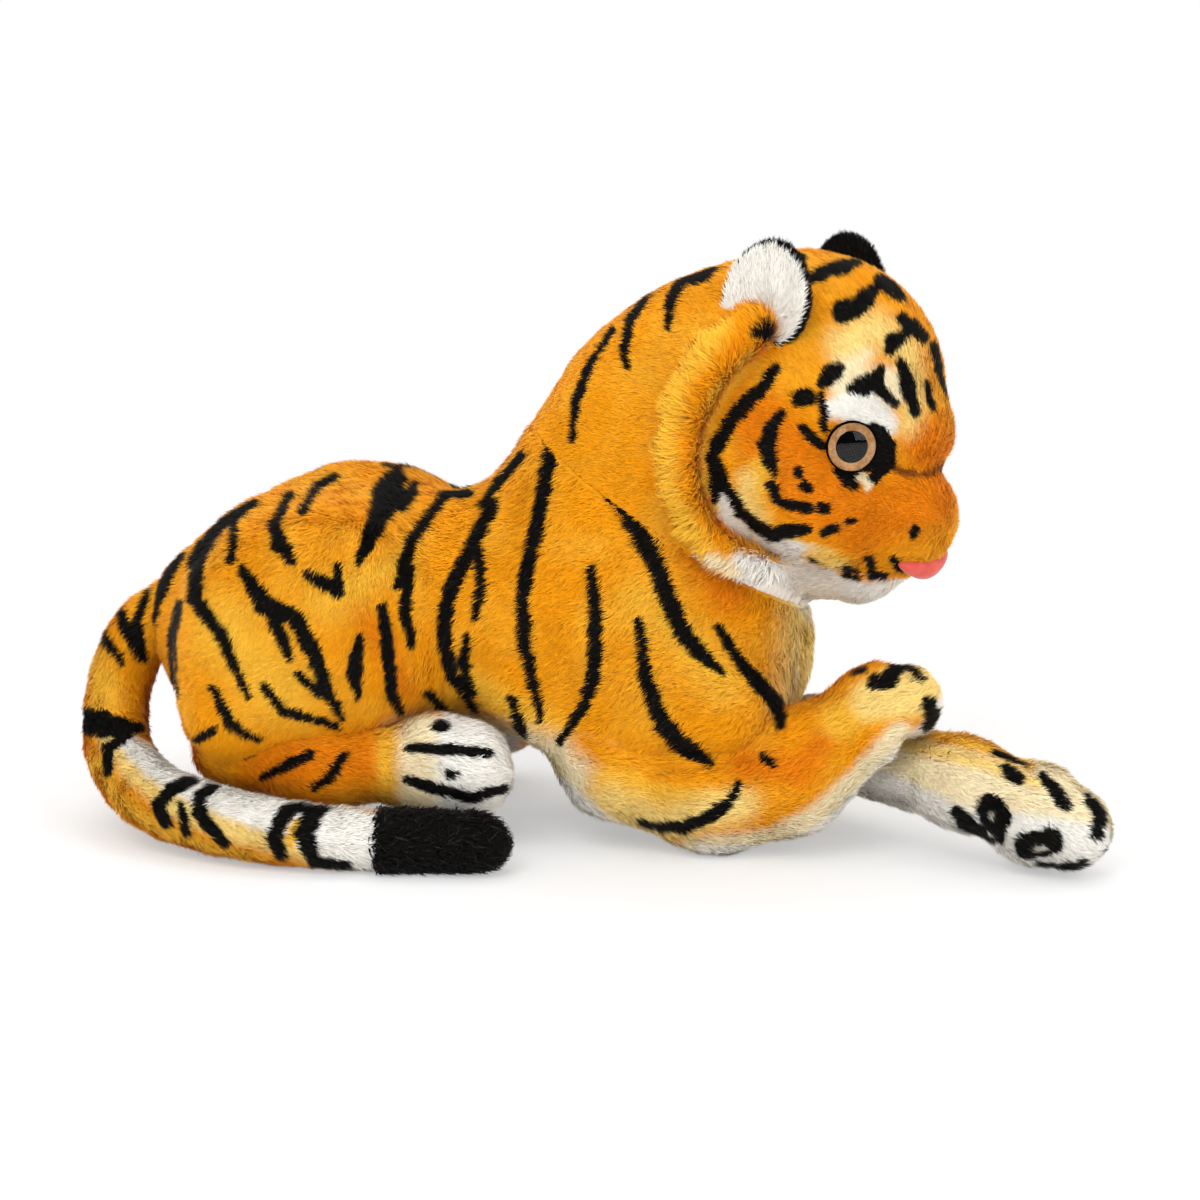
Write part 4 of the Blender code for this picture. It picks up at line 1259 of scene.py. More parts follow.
# Metallic lacquer sprayed behind clear plastic: satin, with a warm gleam
IRIS_BRONZE = Finish(
    "bronze_lacquered_plastic", "#BE9260", "#85592E", 0.42, 1.6, specular=0.25, metallic=0.2)
# Black lacquer under the dome, which keeps all the gloss: deep and even
PUPIL_BLACK = Finish("black_lacquered_plastic", "#050505", "#020202", 0.7, 0.8, specular=0.0)
# Injection-moulded plastic: plain and faintly satin
WASHER_WHITE = Finish(
    "moulded_white_plastic", "#EDEBE6", "#D8D5CE", 0.45, 2.0, bump_mm=0.05)


def clear_plastic() -> bpy.types.Material:
    """Clear moulded dome: light goes straight through to the iris, and highlights stay sharp.

    Returns:
        The material.
    """
    material = bpy.data.materials.new("clear_polished_plastic")
    tree = empty_tree(material)
    place = add_node(tree, "ShaderNodeTexCoord").outputs["Object"]
    haze = add_node(tree, "ShaderNodeTexNoise", {"Vector": place, "Scale": 400.0}).outputs["Fac"]
    rough = add_node(tree, "ShaderNodeMapRange", {
        "Value": haze, "To Min": 0.01, "To Max": 0.035}).outputs[0]
    gloss = add_node(tree, "ShaderNodeBsdfGlossy", {
        "Roughness": rough, "Color": (1, 1, 1, 1)}).outputs[0]
    clear = add_node(tree, "ShaderNodeBsdfTransparent", {"Color": (0.97, 0.95, 0.92, 1)}).outputs[0]
    edge = add_node(tree, "ShaderNodeFresnel", {"IOR": 1.36}).outputs[0]
    behind = add_node(tree, "ShaderNodeNewGeometry").outputs["Backfacing"]
    front = add_node(tree, "ShaderNodeMath", {0: 1.0, 1: behind}, operation="SUBTRACT").outputs[0]
    edge = add_node(tree, "ShaderNodeMath", {0: edge, 1: front}, operation="MULTIPLY").outputs[0]
    mix = add_node(tree, "ShaderNodeMixShader", {0: edge, 1: clear, 2: gloss}).outputs[0]
    add_node(tree, "ShaderNodeOutputMaterial", {"Surface": mix})
    return material


@dataclass(frozen=True)
class Axes:
    """A right-handed frame whose Z faces out and whose Y is near a given up.

    Attributes:
        place: its origin in millimetres.
        facing: where its Z points.
        up: a direction near its Y.
    """

    place: np.ndarray
    facing: np.ndarray
    up: np.ndarray

    def matrix(self) -> np.ndarray:
        """Turns the directions into a rotation.

        Returns:
            Columns: side, above and facing.
        """
        forward = self.facing / np.linalg.norm(self.facing)
        side = np.cross(self.up, forward)
        side /= np.linalg.norm(side)
        return np.stack([side, np.cross(forward, side), forward], 1)

    def out(self, points: Points) -> Points:
        """Points of this frame in the frame that it lies in."""
        return points @ self.matrix().T + self.place


# Masses in the toy's millimetres: start, end, radius at each and flattening. Torso and neck
BODY_MASSES = (
    ((-136, 0, 72), (-126, 0, 72), 60, 60, (1, 0.94, 1.23)),
    ((-90, 0, 94), (-40, 0, 95), 56, 56, (1, 0.92, 1)),
    ((10, 0, 98), (24, 0, 98), 66, 66, (1, 0.88, 1)),
    ((40, 0, 70), (44, 0, 76), 48, 50, (1, 0.96, 1)),
    ((-146, 0, 100), (-177, 0, 92), 38, 27, None),
    ((34, -46, 64), (62, -51, 60), 24, 22.5, None),
)
NECK_MASSES = (
    ((4, 0, 112), (34, 0, 176), 60, 56, (1, 0.94, 1)),
    ((26, 0, 152), (66, 0, 193), 56, 62, (1, 0.94, 1)),
)
BODY_SPINE = ((-144, 0, 76), (-90, 0, 86), (-40, 0, 92), (4, 0, 95), (40, 0, 102))
SEAT = np.array([60.0, 0.0, 188.5])
SEAT_AXIS = np.array([math.sin(math.radians(33.6)), 0.0, math.cos(math.radians(33.6))])

# Head, in its own frame
HEAD_MASSES = (
    ((-12, 0, 9), (-6, 0, 9), 62, 62, (1, 0.945, 1.05)),
    ((30, 0, 8), (40, 0, 5), 25, 23, (1, 1.5, 0.95)),
    ((10, 27, -28), (30, 22, -31), 34, 28.5, None),
    ((10, -27, -28), (30, -22, -31), 34, 28.5, None),
    ((34, 0, -24), (48, 0, -30), 29, 28.5, None),
    ((6, 0, -50), (33, 0, -51), 33, 25.5, None),
)
HEAD_SPINE = ((-46, -23, -24), (-2, -11.5, -23), (42, 0, -22))
HEAD_PLACE = (
    Matrix.Translation((97, 0, 184.5))
    @ Matrix.Rotation(math.radians(-26), 4, "Z")
    @ Matrix.Rotation(math.radians(12), 4, "Y")
    @ Matrix.Rotation(math.radians(-3), 4, "X")
)
HEAD_TURN = np.array(HEAD_PLACE)[:3, :3]
HEAD_ORIGIN = np.array(HEAD_PLACE)[:3, 3]

# Legs, each given for the right side but the left foreleg
HAUNCH_MASSES = (
    ((-134, -42, 101), (-116, -42, 105.5), 42, 45, (1.04, 0.74, 1)),
    ((-138, -46, 84), (-106, -50, 82), 38, 34, (1.08, 0.80, 1)),
    ((-154, -51, 56), (-122, -55, 65), 26, 20, None),
)
HAUNCH_CREST = ((-116, -38, 109), (-99, -34, 113), 42, 40, (1, 0.74, 1))
HAUNCH_SPINE = ((-150, -44, 100), (-108, -46, 100))
HIND_MASSES = (
    ((-160, -50, 40), (-120, -58, 37), 18.5, 20, None),
    ((-120, -58, 37), (-80, -62, 38), 20, 18, None),
    ((-64, -62, 37), (-53, -62, 36), 23.5, 22.5, (1, 0.98, 1.14)),
)
HIND_SPINE = ((-160, -50, 40), (-120, -58, 37), (-80, -62, 38), (-52, -62, 39))
RIGHT_FORE_MASSES = (
    ((-30, -42, 66), (10, -48, 36), 12, 20, None),
    ((10, -48, 34), (56, -50, 26), 22, 26.5, None),
    ((56, -50, 26), (88, -51, 36), 26.5, 27, None),
    ((88, -51, 36), (118, -49, 57), 27, 21.5, None),
    ((128, -46, 66), (137, -44, 67), 21, 18.5, (1, 1.05, 1)),
)
RIGHT_FORE_SPINE = (
    (10, -48, 34), (52, -50, 28), (90, -50, 42), (118, -48, 60), (137, -44, 67))
LEFT_FORE_MASSES = (
    ((30, 42, 24), (62, 36, 25), 24.5, 24, None),
    ((62, 36, 25), (102, 6, 36), 24, 21, None),
    ((102, 6, 36), (164, -52, 34), 21, 20, None),
    ((164, -52, 34), (190, -64, 27), 20, 20, None),
    ((198, -67, 23.5), (209, -71, 20.5), 23, 20, None),
)
LEFT_FORE_SPINE = (
    (30, 42, 24), (62, 36, 25), (102, 6, 36), (164, -52, 34), (190, -64, 27), (209, -71, 21))

# Tail from its root, and the ruff's x and z in the head from the ear down
TAIL_PATH = (
    (-196, 0, 91), (-211, -2, 80), (-219, -14, 56), (-212, -42, 35), (-192, -68, 23),
    (-162, -86, 18.5), (-134, -95, 16), (-103, -97, 14), (-77, -97, 13.5), (-56, -96.5, 13.7),
    (-42, -96, 13.5),
)
TAIL_RADII = (16.5, 16, 15.6, 16, 16.6, 16.2, 15.4, 14.6, 14.0, 13.4, 12.6)
RUFF_PATH = (
    (-10, 42), (-19, 27), (-22.5, 4), (-21, -13), (-16, -29), (-9, -42), (2, -53), (17, -58))
RUFF_RADII = (11, 12, 11, 10.5, 9.5, 9, 9, 7.5)
EASE_STEPS = 5
FOLD_DEPTH = 2.6
ONWARD = Matrix.Identity(4)


def to_head(points: Points) -> Points:
    """Toy millimetres in the head's frame."""
    return (points - HEAD_ORIGIN) @ HEAD_TURN


def from_head(points: Points) -> Points:
    """Points of the head's frame in toy millimetres."""
    return points @ HEAD_TURN.T + HEAD_ORIGIN


def tube(path: Sequence, radii: Sequence[float], blend: float) -> Form:
    """A form that follows a path with a radius at each point."""
    rows = [(path[k], path[k + 1], radii[k], radii[k + 1], None) for k in range(len(path) - 1)]
    return Form(rows, path, blend)


def eased(points: Sequence) -> np.ndarray:
    """Points on one smooth curve through the given ones.

    Args:
        points: places, or radii, in order.

    Returns:
        The same with EASE_STEPS steps from each to the next.
    """
    spots = np.array(points, float)
    padded = np.concatenate([2 * spots[:1] - spots[1:2], spots, 2 * spots[-1:] - spots[-2:-1]])
    share = np.arange(EASE_STEPS) / EASE_STEPS
    share = share.reshape(-1, *[1] * (spots.ndim - 1))
    rows = [
        (2 * b + (c - a) * share + (2 * a - 5 * b + 4 * c - d) * share**2
         + (3 * b - a - 3 * c + d) * share**3) / 2
        for a, b, c, d in zip(padded, padded[1:], padded[2:], padded[3:])
    ]
    return np.concatenate([*rows, spots[-1:]])


def mirrored(rows: Sequence[tuple], spine: Sequence) -> tuple[list, list]:
    """Masses and spine given for the right side, on the left side."""
    turned_rows = [((a[0], -a[1], a[2]), (b[0], -b[1], b[2]), *rest) for a, b, *rest in rows]
    return turned_rows, [(x, -y, z) for x, y, z in spine]


def toward(*vector: float) -> Flow:
    """A flow that is combed one way all over."""
    direction = np.array(vector, float)
    return lambda points, _normals: np.repeat(direction[None], len(points), 0)


def spread_from(centre: Points, drift: Points) -> Flow:
    """A flow that spreads from a centre and drifts one way."""
    return lambda points, _normals: unit(points - centre) + drift


def along_spine(form: Form) -> Flow:
    """A flow that follows a limb from its root to its end.

    Args:
        form: the limb.

    Returns:
        The flow.
    """
    spots = [form.path(share) for share in np.linspace(0, 1, 24)]
    slopes = np.array([slope for _, slope in spots])

    def flow(points: Points, _normals: Points) -> Points:
        """The spine's direction nearest to each point.

        Args:
            points: places in the toy's millimetres.
            _normals: not needed, as the pile follows the limb.

        Returns:
            One direction a point.
        """
        near = np.zeros(len(points), int)
        best = np.full(len(points), np.inf)
        for k, (place, _) in enumerate(spots):
            gap = ((points - place) ** 2).sum(1)
            near = np.where(gap < best, k, near)
            best = np.minimum(gap, best)
        return slopes[near]

    return flow


def ring_quads(rows: int, around: int) -> np.ndarray:
    """Quads between neighbouring rings of points.

    Args:
        rows: how many rings.
        around: points in each.

    Returns:
        The four corners of each quad.
    """
    k = np.arange(around)
    n = (k + 1) % around
    return np.concatenate([
        np.stack([row * around + k, (row + 1) * around + k,
                  (row + 1) * around + n, row * around + n], 1)
        for row in range(rows - 1)
    ])


class Pattern:
    """The stuffed forms that the sewn parts share.

    Attributes:
        step: how finely the cloth is drawn.
        plush: the plush material.
        torso: torso and neck.
        head: the head, in its own frame.
        haunches: haunch of each side.
        hinds: lower hind leg of each side.
        fores: foreleg of each side.
    """

    BODY_BLEND, HEAD_BLEND, HAUNCH_BLEND, LEG_BLEND = 26, 9, 20, 12
    SEAM_DEPTH = 54.5
    SUNK = 2.5

    def __init__(self) -> None:
        """Builds the forms and cuts torso and head on one plane."""
        self.step = CLOTH_STEP
        self.plush = PLUSH.build()
        neck, self.torso = (
            Form(BODY_MASSES + NECK_MASSES, BODY_SPINE, self.BODY_BLEND) for _ in range(2))
        self.head = Form(HEAD_MASSES, HEAD_SPINE, self.HEAD_BLEND)
        self.head.grown_from = lambda points: neck.depth(from_head(points))
        seam = SEAT - SEAT_AXIS * self.SEAM_DEPTH
        self.torso.planes.append((seam, SEAT_AXIS))
        self.head.planes.append((to_head(seam), -SEAT_AXIS @ HEAD_TURN))
        left_haunch = mirrored((HAUNCH_CREST, *HAUNCH_MASSES), HAUNCH_SPINE)
        self.haunches = {
            Side.RIGHT: Form(HAUNCH_MASSES, HAUNCH_SPINE, self.HAUNCH_BLEND),
            Side.LEFT: Form(*left_haunch, self.HAUNCH_BLEND),
        }
        self.hinds = {
            Side.RIGHT: Form(HIND_MASSES, HIND_SPINE, self.LEG_BLEND),
            Side.LEFT: Form(*mirrored(HIND_MASSES, HIND_SPINE), self.LEG_BLEND),
        }
        self.fores = {
            Side.RIGHT: Form(RIGHT_FORE_MASSES, RIGHT_FORE_SPINE, self.LEG_BLEND),
            Side.LEFT: Form(LEFT_FORE_MASSES, LEFT_FORE_SPINE, self.LEG_BLEND),
        }
        under = [mass for form in self.haunches.values() for mass in form.masses]
        under += [form.masses[0] for form in self.fores.values()]
        self.torso.masses += [
            replace(mass, first=mass.first - self.SUNK, last=mass.last - self.SUNK)
            for mass in under
        ]


@dataclass
class Torso:
    """The torso in three sewn panels.

    Attributes:
        pattern: the shared forms.
        flank_floor: height of the flat underside over the forelegs.
        flank_rear: where that underside begins.
        belly_half: half the width of the belly gusset.
        belly_top: height that the gusset reaches.
        belly_rear: where it ends at the rear.
        chest_rear: from where it also covers the chest.
        shoulder_seam: how far the shoulder seam is drawn in.
        pile: how the pile stands.
    """

    pattern: Pattern
    flank_floor: float = 41.0
    flank_rear: float = -30.0
    belly_half: float = 20.0
    belly_top: float = 85.0
    belly_rear: float = -165.0
    chest_rear: float = 43.0
    shoulder_seam: float = 1.6
    pile: Pile = Pile(length=4.4, lean=28)

    def skin(self) -> Skin:
        """The torso's cloth, flat underneath and drawn in at its seams.

        Returns:
            The closed skin.
        """
        skin = loft(self.pattern.torso, self.pattern.step)
        level = self.flank_floor + SKIN_DEPTH
        flank = (skin.points[:, 0] > self.flank_rear) & (skin.points[:, 2] < level)
        skin.points[flank, 2] = level
        skin.flatten()
        skin.dent(DENTS, self.shoulder_seam)
        skin.dent(FOLD, FOLD_DEPTH)
        return skin

    def build(self) -> list[bpy.types.Object]:
        """Sews the panels.

        Returns:
            Their objects.
        """
        forms = self.pattern
        skin = self.skin()
        x, y, z = skin.middles().T
        belly = (z < self.belly_top) & (x > self.belly_rear) | (x > self.chest_rear)
        belly &= np.abs(y) < self.belly_half
        coat = Painter(Ink.ORANGE, [GROUND_MARKS, BODY_MARKS, NECK_MARKS], ONWARD)
        white = Painter(Ink.WHITE, [CHEST_MARKS])
        inside = (*forms.haunches.values(), *forms.hinds.values(), *forms.fores.values())
        rows = (
            ("torso_right_plush", ("torso_right_panel",), ~belly & (y <= 0), coat, "orange_plush"),
            ("torso_left_plush", ("torso_left_panel",), ~belly & (y > 0), coat, "orange_plush"),
            ("chest_belly_plush", ("chest_belly_gusset", "torso_filling"), belly, white,
             "white_plush"),
        )
        return [
            PlushPiece(name, "body", nodes, slot, skin.part(keep), self.pile,
                       toward(-1, 0, -0.55), paint, inside).build(forms.plush)
            for name, nodes, keep, paint, slot in rows
        ]


@dataclass
class HindLegs:
    """Haunches and lower hind legs.

    Attributes:
        pattern: the shared forms.
        haunch_pile: how the pile stands on a haunch.
        leg_pile: how it stands on a lower leg.
    """

    pattern: Pattern
    haunch_pile: Pile = Pile(length=4.4, lean=28)
    leg_pile: Pile = Pile(length=4.0, lean=26)

    def build(self) -> list[bpy.types.Object]:
        """Sews both sides.

        Returns:
            Their objects.
        """
        forms = self.pattern
        body = Painter(Ink.ORANGE, [GROUND_MARKS, BODY_MARKS], ONWARD)
        leg = Painter(Ink.ORANGE, [HIND_MARKS], ONWARD)
        pieces = []
        for side in Side:
            haunch, hind = forms.haunches[side], forms.hinds[side]
            rows = (
                (f"haunch_{side.word}", haunch, self.haunch_pile, toward(-0.55, 0, -1), body,
                 (forms.torso,)),
                (f"hind_leg_{side.word}", hind, self.leg_pile, toward(1, 0, -0.2), leg,
                 (forms.torso, haunch)),
            )
            pieces += [
                PlushPiece(f"{name}_plush", "body", (f"{name}_cover", f"{name}_filling"),
                           "orange_plush", loft(form, forms.step), pile, flow, paint,
                           inside).build(forms.plush)
                for name, form, pile, flow, paint, inside in rows
            ]
        return pieces


@dataclass
class Forelegs:
    """Both forelegs; the right paw lies on the left forearm.

    Attributes:
        pattern: the shared forms.
        paw_rest: height at which the right paw rests on the left forearm.
        lap: how much lower the forearm stays.
        forearm_rear: where the forearm's flat top begins.
        crossing: x and y of the line that the paw crosses.
        crossing_turn: that line's turn in degrees.
        pile: how the pile stands.
    """

    pattern: Pattern
    paw_rest: float = 56.0
    lap: float = 1.0
    forearm_rear: float = 90.0
    crossing: tuple[float, float] = (123.0, -48.5)
    crossing_turn: float = -43.0
    pile: Pile = Pile(length=4.0, lean=26)

    def right(self, skin: Skin) -> None:
        """Flattens the right paw where it rests, and draws the fold in.

        Args:
            skin: the right foreleg's cloth.
        """
        x, y, turn = *self.crossing, math.radians(self.crossing_turn)
        points = skin.points
        across = -math.sin(turn) * (points[:, 0] - x) + math.cos(turn) * (points[:, 1] - y)
        points[(across > 0) & (points[:, 2] < self.paw_rest), 2] = self.paw_rest
        skin.flatten()
        skin.dent(FOLD, FOLD_DEPTH)

    def left(self, skin: Skin) -> None:
        """Flattens the left forearm under the right paw.

        Args:
            skin: the left foreleg's cloth.
        """
        points, level = skin.points, self.paw_rest - self.lap
        points[(points[:, 0] > self.forearm_rear) & (points[:, 2] > level), 2] = level
        skin.flatten()

    def build(self) -> list[bpy.types.Object]:
        """Sews both forelegs.

        Returns:
            Their objects.
        """
        rows = (
            (Side.RIGHT, self.right, Painter(Ink.ORANGE, [RIGHT_FORE_MARKS])),
            (Side.LEFT, self.left, Painter(Ink.CREAM, [LEFT_FORE_MARKS])),
        )
        pieces = []
        for side, shape, paint in rows:
            form, name = self.pattern.fores[side], f"foreleg_{side.word}"
            skin = loft(form, self.pattern.step)
            shape(skin)
            pieces.append(PlushPiece(
                f"{name}_plush", name, (f"{name}_cover", f"{name}_filling"), "orange_plush",
                skin, self.pile, along_spine(form), paint, (self.pattern.torso,),
            ).build(self.pattern.plush))
        return pieces


@dataclass
class Tail:
    """The tail in base, end and black tip.

    Attributes:
        pattern: the shared forms.
        bend: which point of the path the two halves meet at.
        swell: how much thicker than the path's radii it is drawn.
        blend: how widely its short masses flow together.
        tip_rear: where the black tip begins.
        pile: how the pile stands.
        tip_pile: how it stands on the tip.
    """

    pattern: Pattern
    bend: int = 4
    swell: float = 0.5
    blend: float = 0.6
    tip_rear: float = -87.0
    pile: Pile = Pile(length=4.2, lean=28)
    tip_pile: Pile = Pile(length=6.0, lean=44, scatter=0.6, width=0.9, count=1.9, curl=0.7)

    def build(self) -> list[bpy.types.Object]:
        """Sews the three pieces.

        Returns:
            Their objects.
        """
        forms = self.pattern
        path, radii = eased(TAIL_PATH), eased(TAIL_RADII) + self.swell
        middle = self.bend * EASE_STEPS
        base = tube(path[: middle + 1], radii[: middle + 1], self.blend)
        end = tube(path[middle:], radii[middle:], self.blend)
        skin = loft(end, forms.step)
        skin.flatten()
        tip = skin.middles()[:, 0] > self.tip_rear
        bands, black = Painter(Ink.ORANGE, [TAIL_MARKS]), Painter(Ink.BLACK)
        onward = along_spine(end)
        pieces = (
            PlushPiece("tail_base_plush", "tail_base", ("tail_base_cover", "tail_base_filling"),
                       "orange_plush", loft(base, forms.step), self.pile, along_spine(base),
                       bands, (forms.torso,)),
            PlushPiece("tail_end_plush", "tail_end", ("tail_end_cover", "tail_end_filling"),
                       "orange_plush", skin.part(~tip), self.pile, onward, bands),
            PlushPiece("tail_tip_plush", "tail_end", ("tail_tip_cover",), "black_plush",
                       skin.part(tip), self.tip_pile, onward, black),
        )
        return [piece.build(forms.plush) for piece in pieces]


@dataclass
class FacePainter:
    """Paints the face before the ruffs, and only the neck's marks behind them.

    Attributes:
        face: dye of the face, with its painted shade in the brow crease.
        nape: dye behind the ruffs.
        fade: how many millimetres one fades into the other over.
    """

    face: Paint
    nape: Paint
    fade: float = 4.0

    def __call__(self, points: Points, normals: Points) -> Points:
        """Dye at points.

        Args:
            points: places in the toy's millimetres.
            normals: outward directions there.

        Returns:
            Linear colours.
        """
        x, _, z = to_head(points).T
        ruff_x, ruff_z = np.array(RUFF_PATH[::-1]).T
        ahead = np.clip((x - np.interp(z, ruff_z, ruff_x)) / self.fade + 1, 0, 1)
        ahead[z > ruff_z[-1]] = 1
        front, back = self.face(points, normals), self.nape(points, normals)
        return back + (front - back) * ahead[:, None]


@dataclass
class Head:
    """The head in four sewn panels.

    Attributes:
        pattern: the shared forms.
        crown_half: half the width of the gusset over the crown.
        crown_floor: height that it ends at.
        chin_top: height of the chin panel's upper edge.
        chin_rear: where the chin panel ends.
        brow_seam: how far the seam on the forehead is drawn in.
        nose: the place that the face's pile is combed away from.
        drift: how that pile also leans back and down.
        pile: how the pile stands.
    """

    pattern: Pattern
    crown_half: float = 14.0
    crown_floor: float = -10.0
    chin_top: float = -53.5
    chin_rear: float = -10.0
    brow_seam: float = 1.4
    nose: tuple[float, float, float] = (72.0, 0.0, -30.0)
    drift: tuple[float, float, float] = (-0.2, 0.0, -0.25)
    pile: Pile = Pile(length=3.1, lean=24, width=0.32, count=3.6)

    def build(self) -> list[bpy.types.Object]:
        """Sews the panels.

        Returns:
            Their objects.
        """
        skin = loft(self.pattern.head, self.pattern.step)
        x, y, z = skin.middles().T
        skin.points = from_head(skin.points)
        skin.dent(FOREHEAD_DENT, self.brow_seam)
        crown = (np.abs(y) < self.crown_half) & (z > self.crown_floor)
        chin = ~crown & (z < self.chin_top) & (x > self.chin_rear)
        cheek = ~crown & ~chin
        flow = spread_from(from_head(np.array([self.nose]))[0], np.array(self.drift))
        coat = FacePainter(
            Painter(Ink.ORANGE, [FACE_MARKS, NECK_MARKS], HEAD_PLACE),
            Painter(Ink.ORANGE, [NECK_MARKS], ONWARD))
        white = Painter(Ink.WHITE, [LIP_MARKS])
        rows = (
            ("head_gusset_plush", ("head_gusset", "head_filling"), crown, coat, "orange_plush"),
            ("chin_plush", ("chin_panel",), chin, white, "white_plush"),
            ("face_right_plush", ("face_right_panel",), cheek & (y <= 0), coat, "orange_plush"),
            ("face_left_plush", ("face_left_panel",), cheek & (y > 0), coat, "orange_plush"),
        )
        return [
            PlushPiece(name, "head", nodes, slot, skin.part(keep), self.pile, flow,
                       paint).build(self.pattern.plush)
            for name, nodes, keep, paint, slot in rows
        ]


@dataclass
class Ruffs:
    """A curved roll of long pile behind each cheek.

    Attributes:
        pattern: the shared forms.
        rise: how far its middle lies over the head's skin.
        blend: how widely its short masses flow together.
        cloth_depth: how far its cloth lies under the pile's tips.
        sunk: how deep in the head it has no pile.
        centre: x, distance from the middle and z that its pile spreads from.
        pile: how the pile stands.
    """

    pattern: Pattern
    rise: float = 4.0
    blend: float = 3.0
    cloth_depth: float = 4.0
    sunk: float = 6.0
    centre: tuple[float, float, float] = (10.0, 50.0, -5.0)
    pile: Pile = Pile(length=7.5, lean=34, width=0.42, scatter=0.3, count=3.4, curl=0.4)

    def build(self) -> list[bpy.types.Object]:
        """Sews both ruffs.

        Returns:
            Their objects.
        """
        head = self.pattern.head
        middle = np.array([(x, 0.0, z) for x, z in RUFF_PATH])
        pieces = []
        for side in Side:
            sign = side.value
            outward = np.repeat([[0.0, sign, 0.0]], len(middle), 0)
            form = tube(head.reach(middle, outward, self.rise), RUFF_RADII, self.blend)
            skin = loft(form, self.pattern.step, -self.cloth_depth, upright=(0.0, 1.0, 0.0))
            skin.bare |= head.depth(skin.points) < -SKIN_DEPTH - self.sunk
            skin.points = from_head(skin.points)
            back = HEAD_TURN @ np.array([-1.0, 0.25 * sign, 0.0])
            centre = from_head(np.array([self.centre]) * (1, sign, 1))[0]
            pieces.append(PlushPiece(
                f"ruff_{side.word}_plush", "head", (f"ruff_{side.word}",), "orange_plush", skin,
                self.pile, spread_from(centre, back * 0.5),
                Painter(Ink.ORANGE, [RUFF_MARKS], HEAD_PLACE),
            ).build(self.pattern.plush))
        return pieces


@dataclass
class Ears:
    """Round ears, black behind and at the rim, with a white lining in their dish.

    Attributes:
        pattern: the shared forms.
        half_wide: half the ear's width.
        half_high: half its height.
        narrowing: how much narrower it is at the top, as a share.
        rim: how far the rim stands forward.
        dish: how deep the lining lies.
        back: how far the back bulges.
        places: place of each ear in the head's frame.
        root: how far below its middle the pile spreads from.
    """

    pattern: Pattern
    half_wide: float = 19.5
    half_high: float = 23.0
    narrowing: float = 0.10
    rim: float = 2.6
    dish: float = 3.4
    back: float = 4.6
    places: tuple[tuple[Side, tuple[float, float, float]], ...] = (
        (Side.RIGHT, (-13.0, -49.0, 55.0)), (Side.LEFT, (-21.0, 42.0, 53.0)))
    root: float = -16.0

    def grid(self, turn: np.ndarray, tilts: np.ndarray) -> Points:
        """The ear's own form, before it is set on the head.

        Args:
            turn: angles round the ear.
            tilts: angles from its front over the rim to its back.

        Returns:
            Points ring by ring, in millimetres.
        """
        angle, tilt = np.meshgrid(turn, tilts)
        radius, face = np.sin(tilt), np.cos(tilt)
        x = radius * np.cos(angle) * self.half_wide
        y = radius * np.sin(angle) * self.half_high
        x *= 1 - self.narrowing * np.clip(y / self.half_high, -1, 1)
        bowl = face * self.rim - self.dish * np.clip(1 - radius**1.6, 0, 1)
        z = np.where(face > 0, bowl, face * self.back)
        z += np.where(face > 0, np.sin(x * 0.55 + y * 0.12) * (1 - radius), 0)
        return np.stack([x, y, z], 2).reshape(-1, 3)

    def faces(self, rings: int, around: int) -> tuple[np.ndarray, np.ndarray]:
        """Triangles between the ear's rings.

        Args:
            rings: how many rings.
            around: points in each.

        Returns:
            Triangles, and the pattern place of each of their corners.
        """
        k = np.arange(around)
        n = (k + 1) % around
        left, right = k / around, (k + 1) / around
        faces, chart = [], []
        for row in range(rings - 1):
            a, b = row * around, (row + 1) * around
            faces += [np.stack([a + k, b + k, b + n], 1), np.stack([a + k, b + n, a + n], 1)]
            low, high = left * 0 + row / rings, left * 0 + (row + 1) / rings
            corner = [
                np.stack(pair, 1)
                for pair in ((left, low), (left, high), (right, high), (right, low))]
            chart += [np.stack(corner[:3], 1), np.stack([corner[0], corner[2], corner[3]], 1)]
        return np.concatenate(faces), np.concatenate(chart)

    def build(self) -> list[bpy.types.Object]:
        """Sews both ears.

        Returns:
            Their objects.
        """
        step = max(self.pattern.step, 1.2)
        rings, around = int(26 / step) * 2, int(120 / step)
        turn = np.linspace(0, 2 * math.pi, around, endpoint=False)
        tilts = np.linspace(0, math.pi, rings)
        up = HEAD_TURN @ np.array([-0.1, 0.0, 1.0])
        pieces = []
        for side, place in self.places:
            sign = side.value
            axes = Axes(np.array(place), np.array([0.04, sign * 0.98, 0.14]),
                        np.array([-0.12, sign * -0.16, 0.97]))
            points = from_head(axes.out(self.grid(turn, tilts)))
            faces, chart = self.faces(rings, around)
            rim = 0.14 * sign * np.cos(turn) - 0.20 * np.maximum(np.sin(turn), 0)
            edge = math.pi / 2 - 0.24 + np.tile(rim, rings)
            front = (np.repeat(tilts, around) < edge)[faces].all(1)
            skin = Skin(points, faces, chart, np.zeros(len(points), bool)).face_out()
            centre = from_head(axes.out(np.array([[0.0, self.root, 0.0]])))[0]
            flow = spread_from(centre, up * 0.4)
            rows = (
                (f"ear_{side.word}_outer", ~front, Ink.BLACK, "black_plush", 3.0),
                (f"ear_{side.word}_lining", front, Ink.WHITE, "white_plush", 4.2),
            )
            pieces += [
                PlushPiece(f"{node}_plush", "head", (node,), slot, skin.part(keep),
                           Pile(length=length, lean=22, width=0.34, count=4.0, scatter=0.3),
                           flow, Painter(ink)).build(self.pattern.plush)
                for node, keep, ink, slot, length in rows
            ]
        return pieces


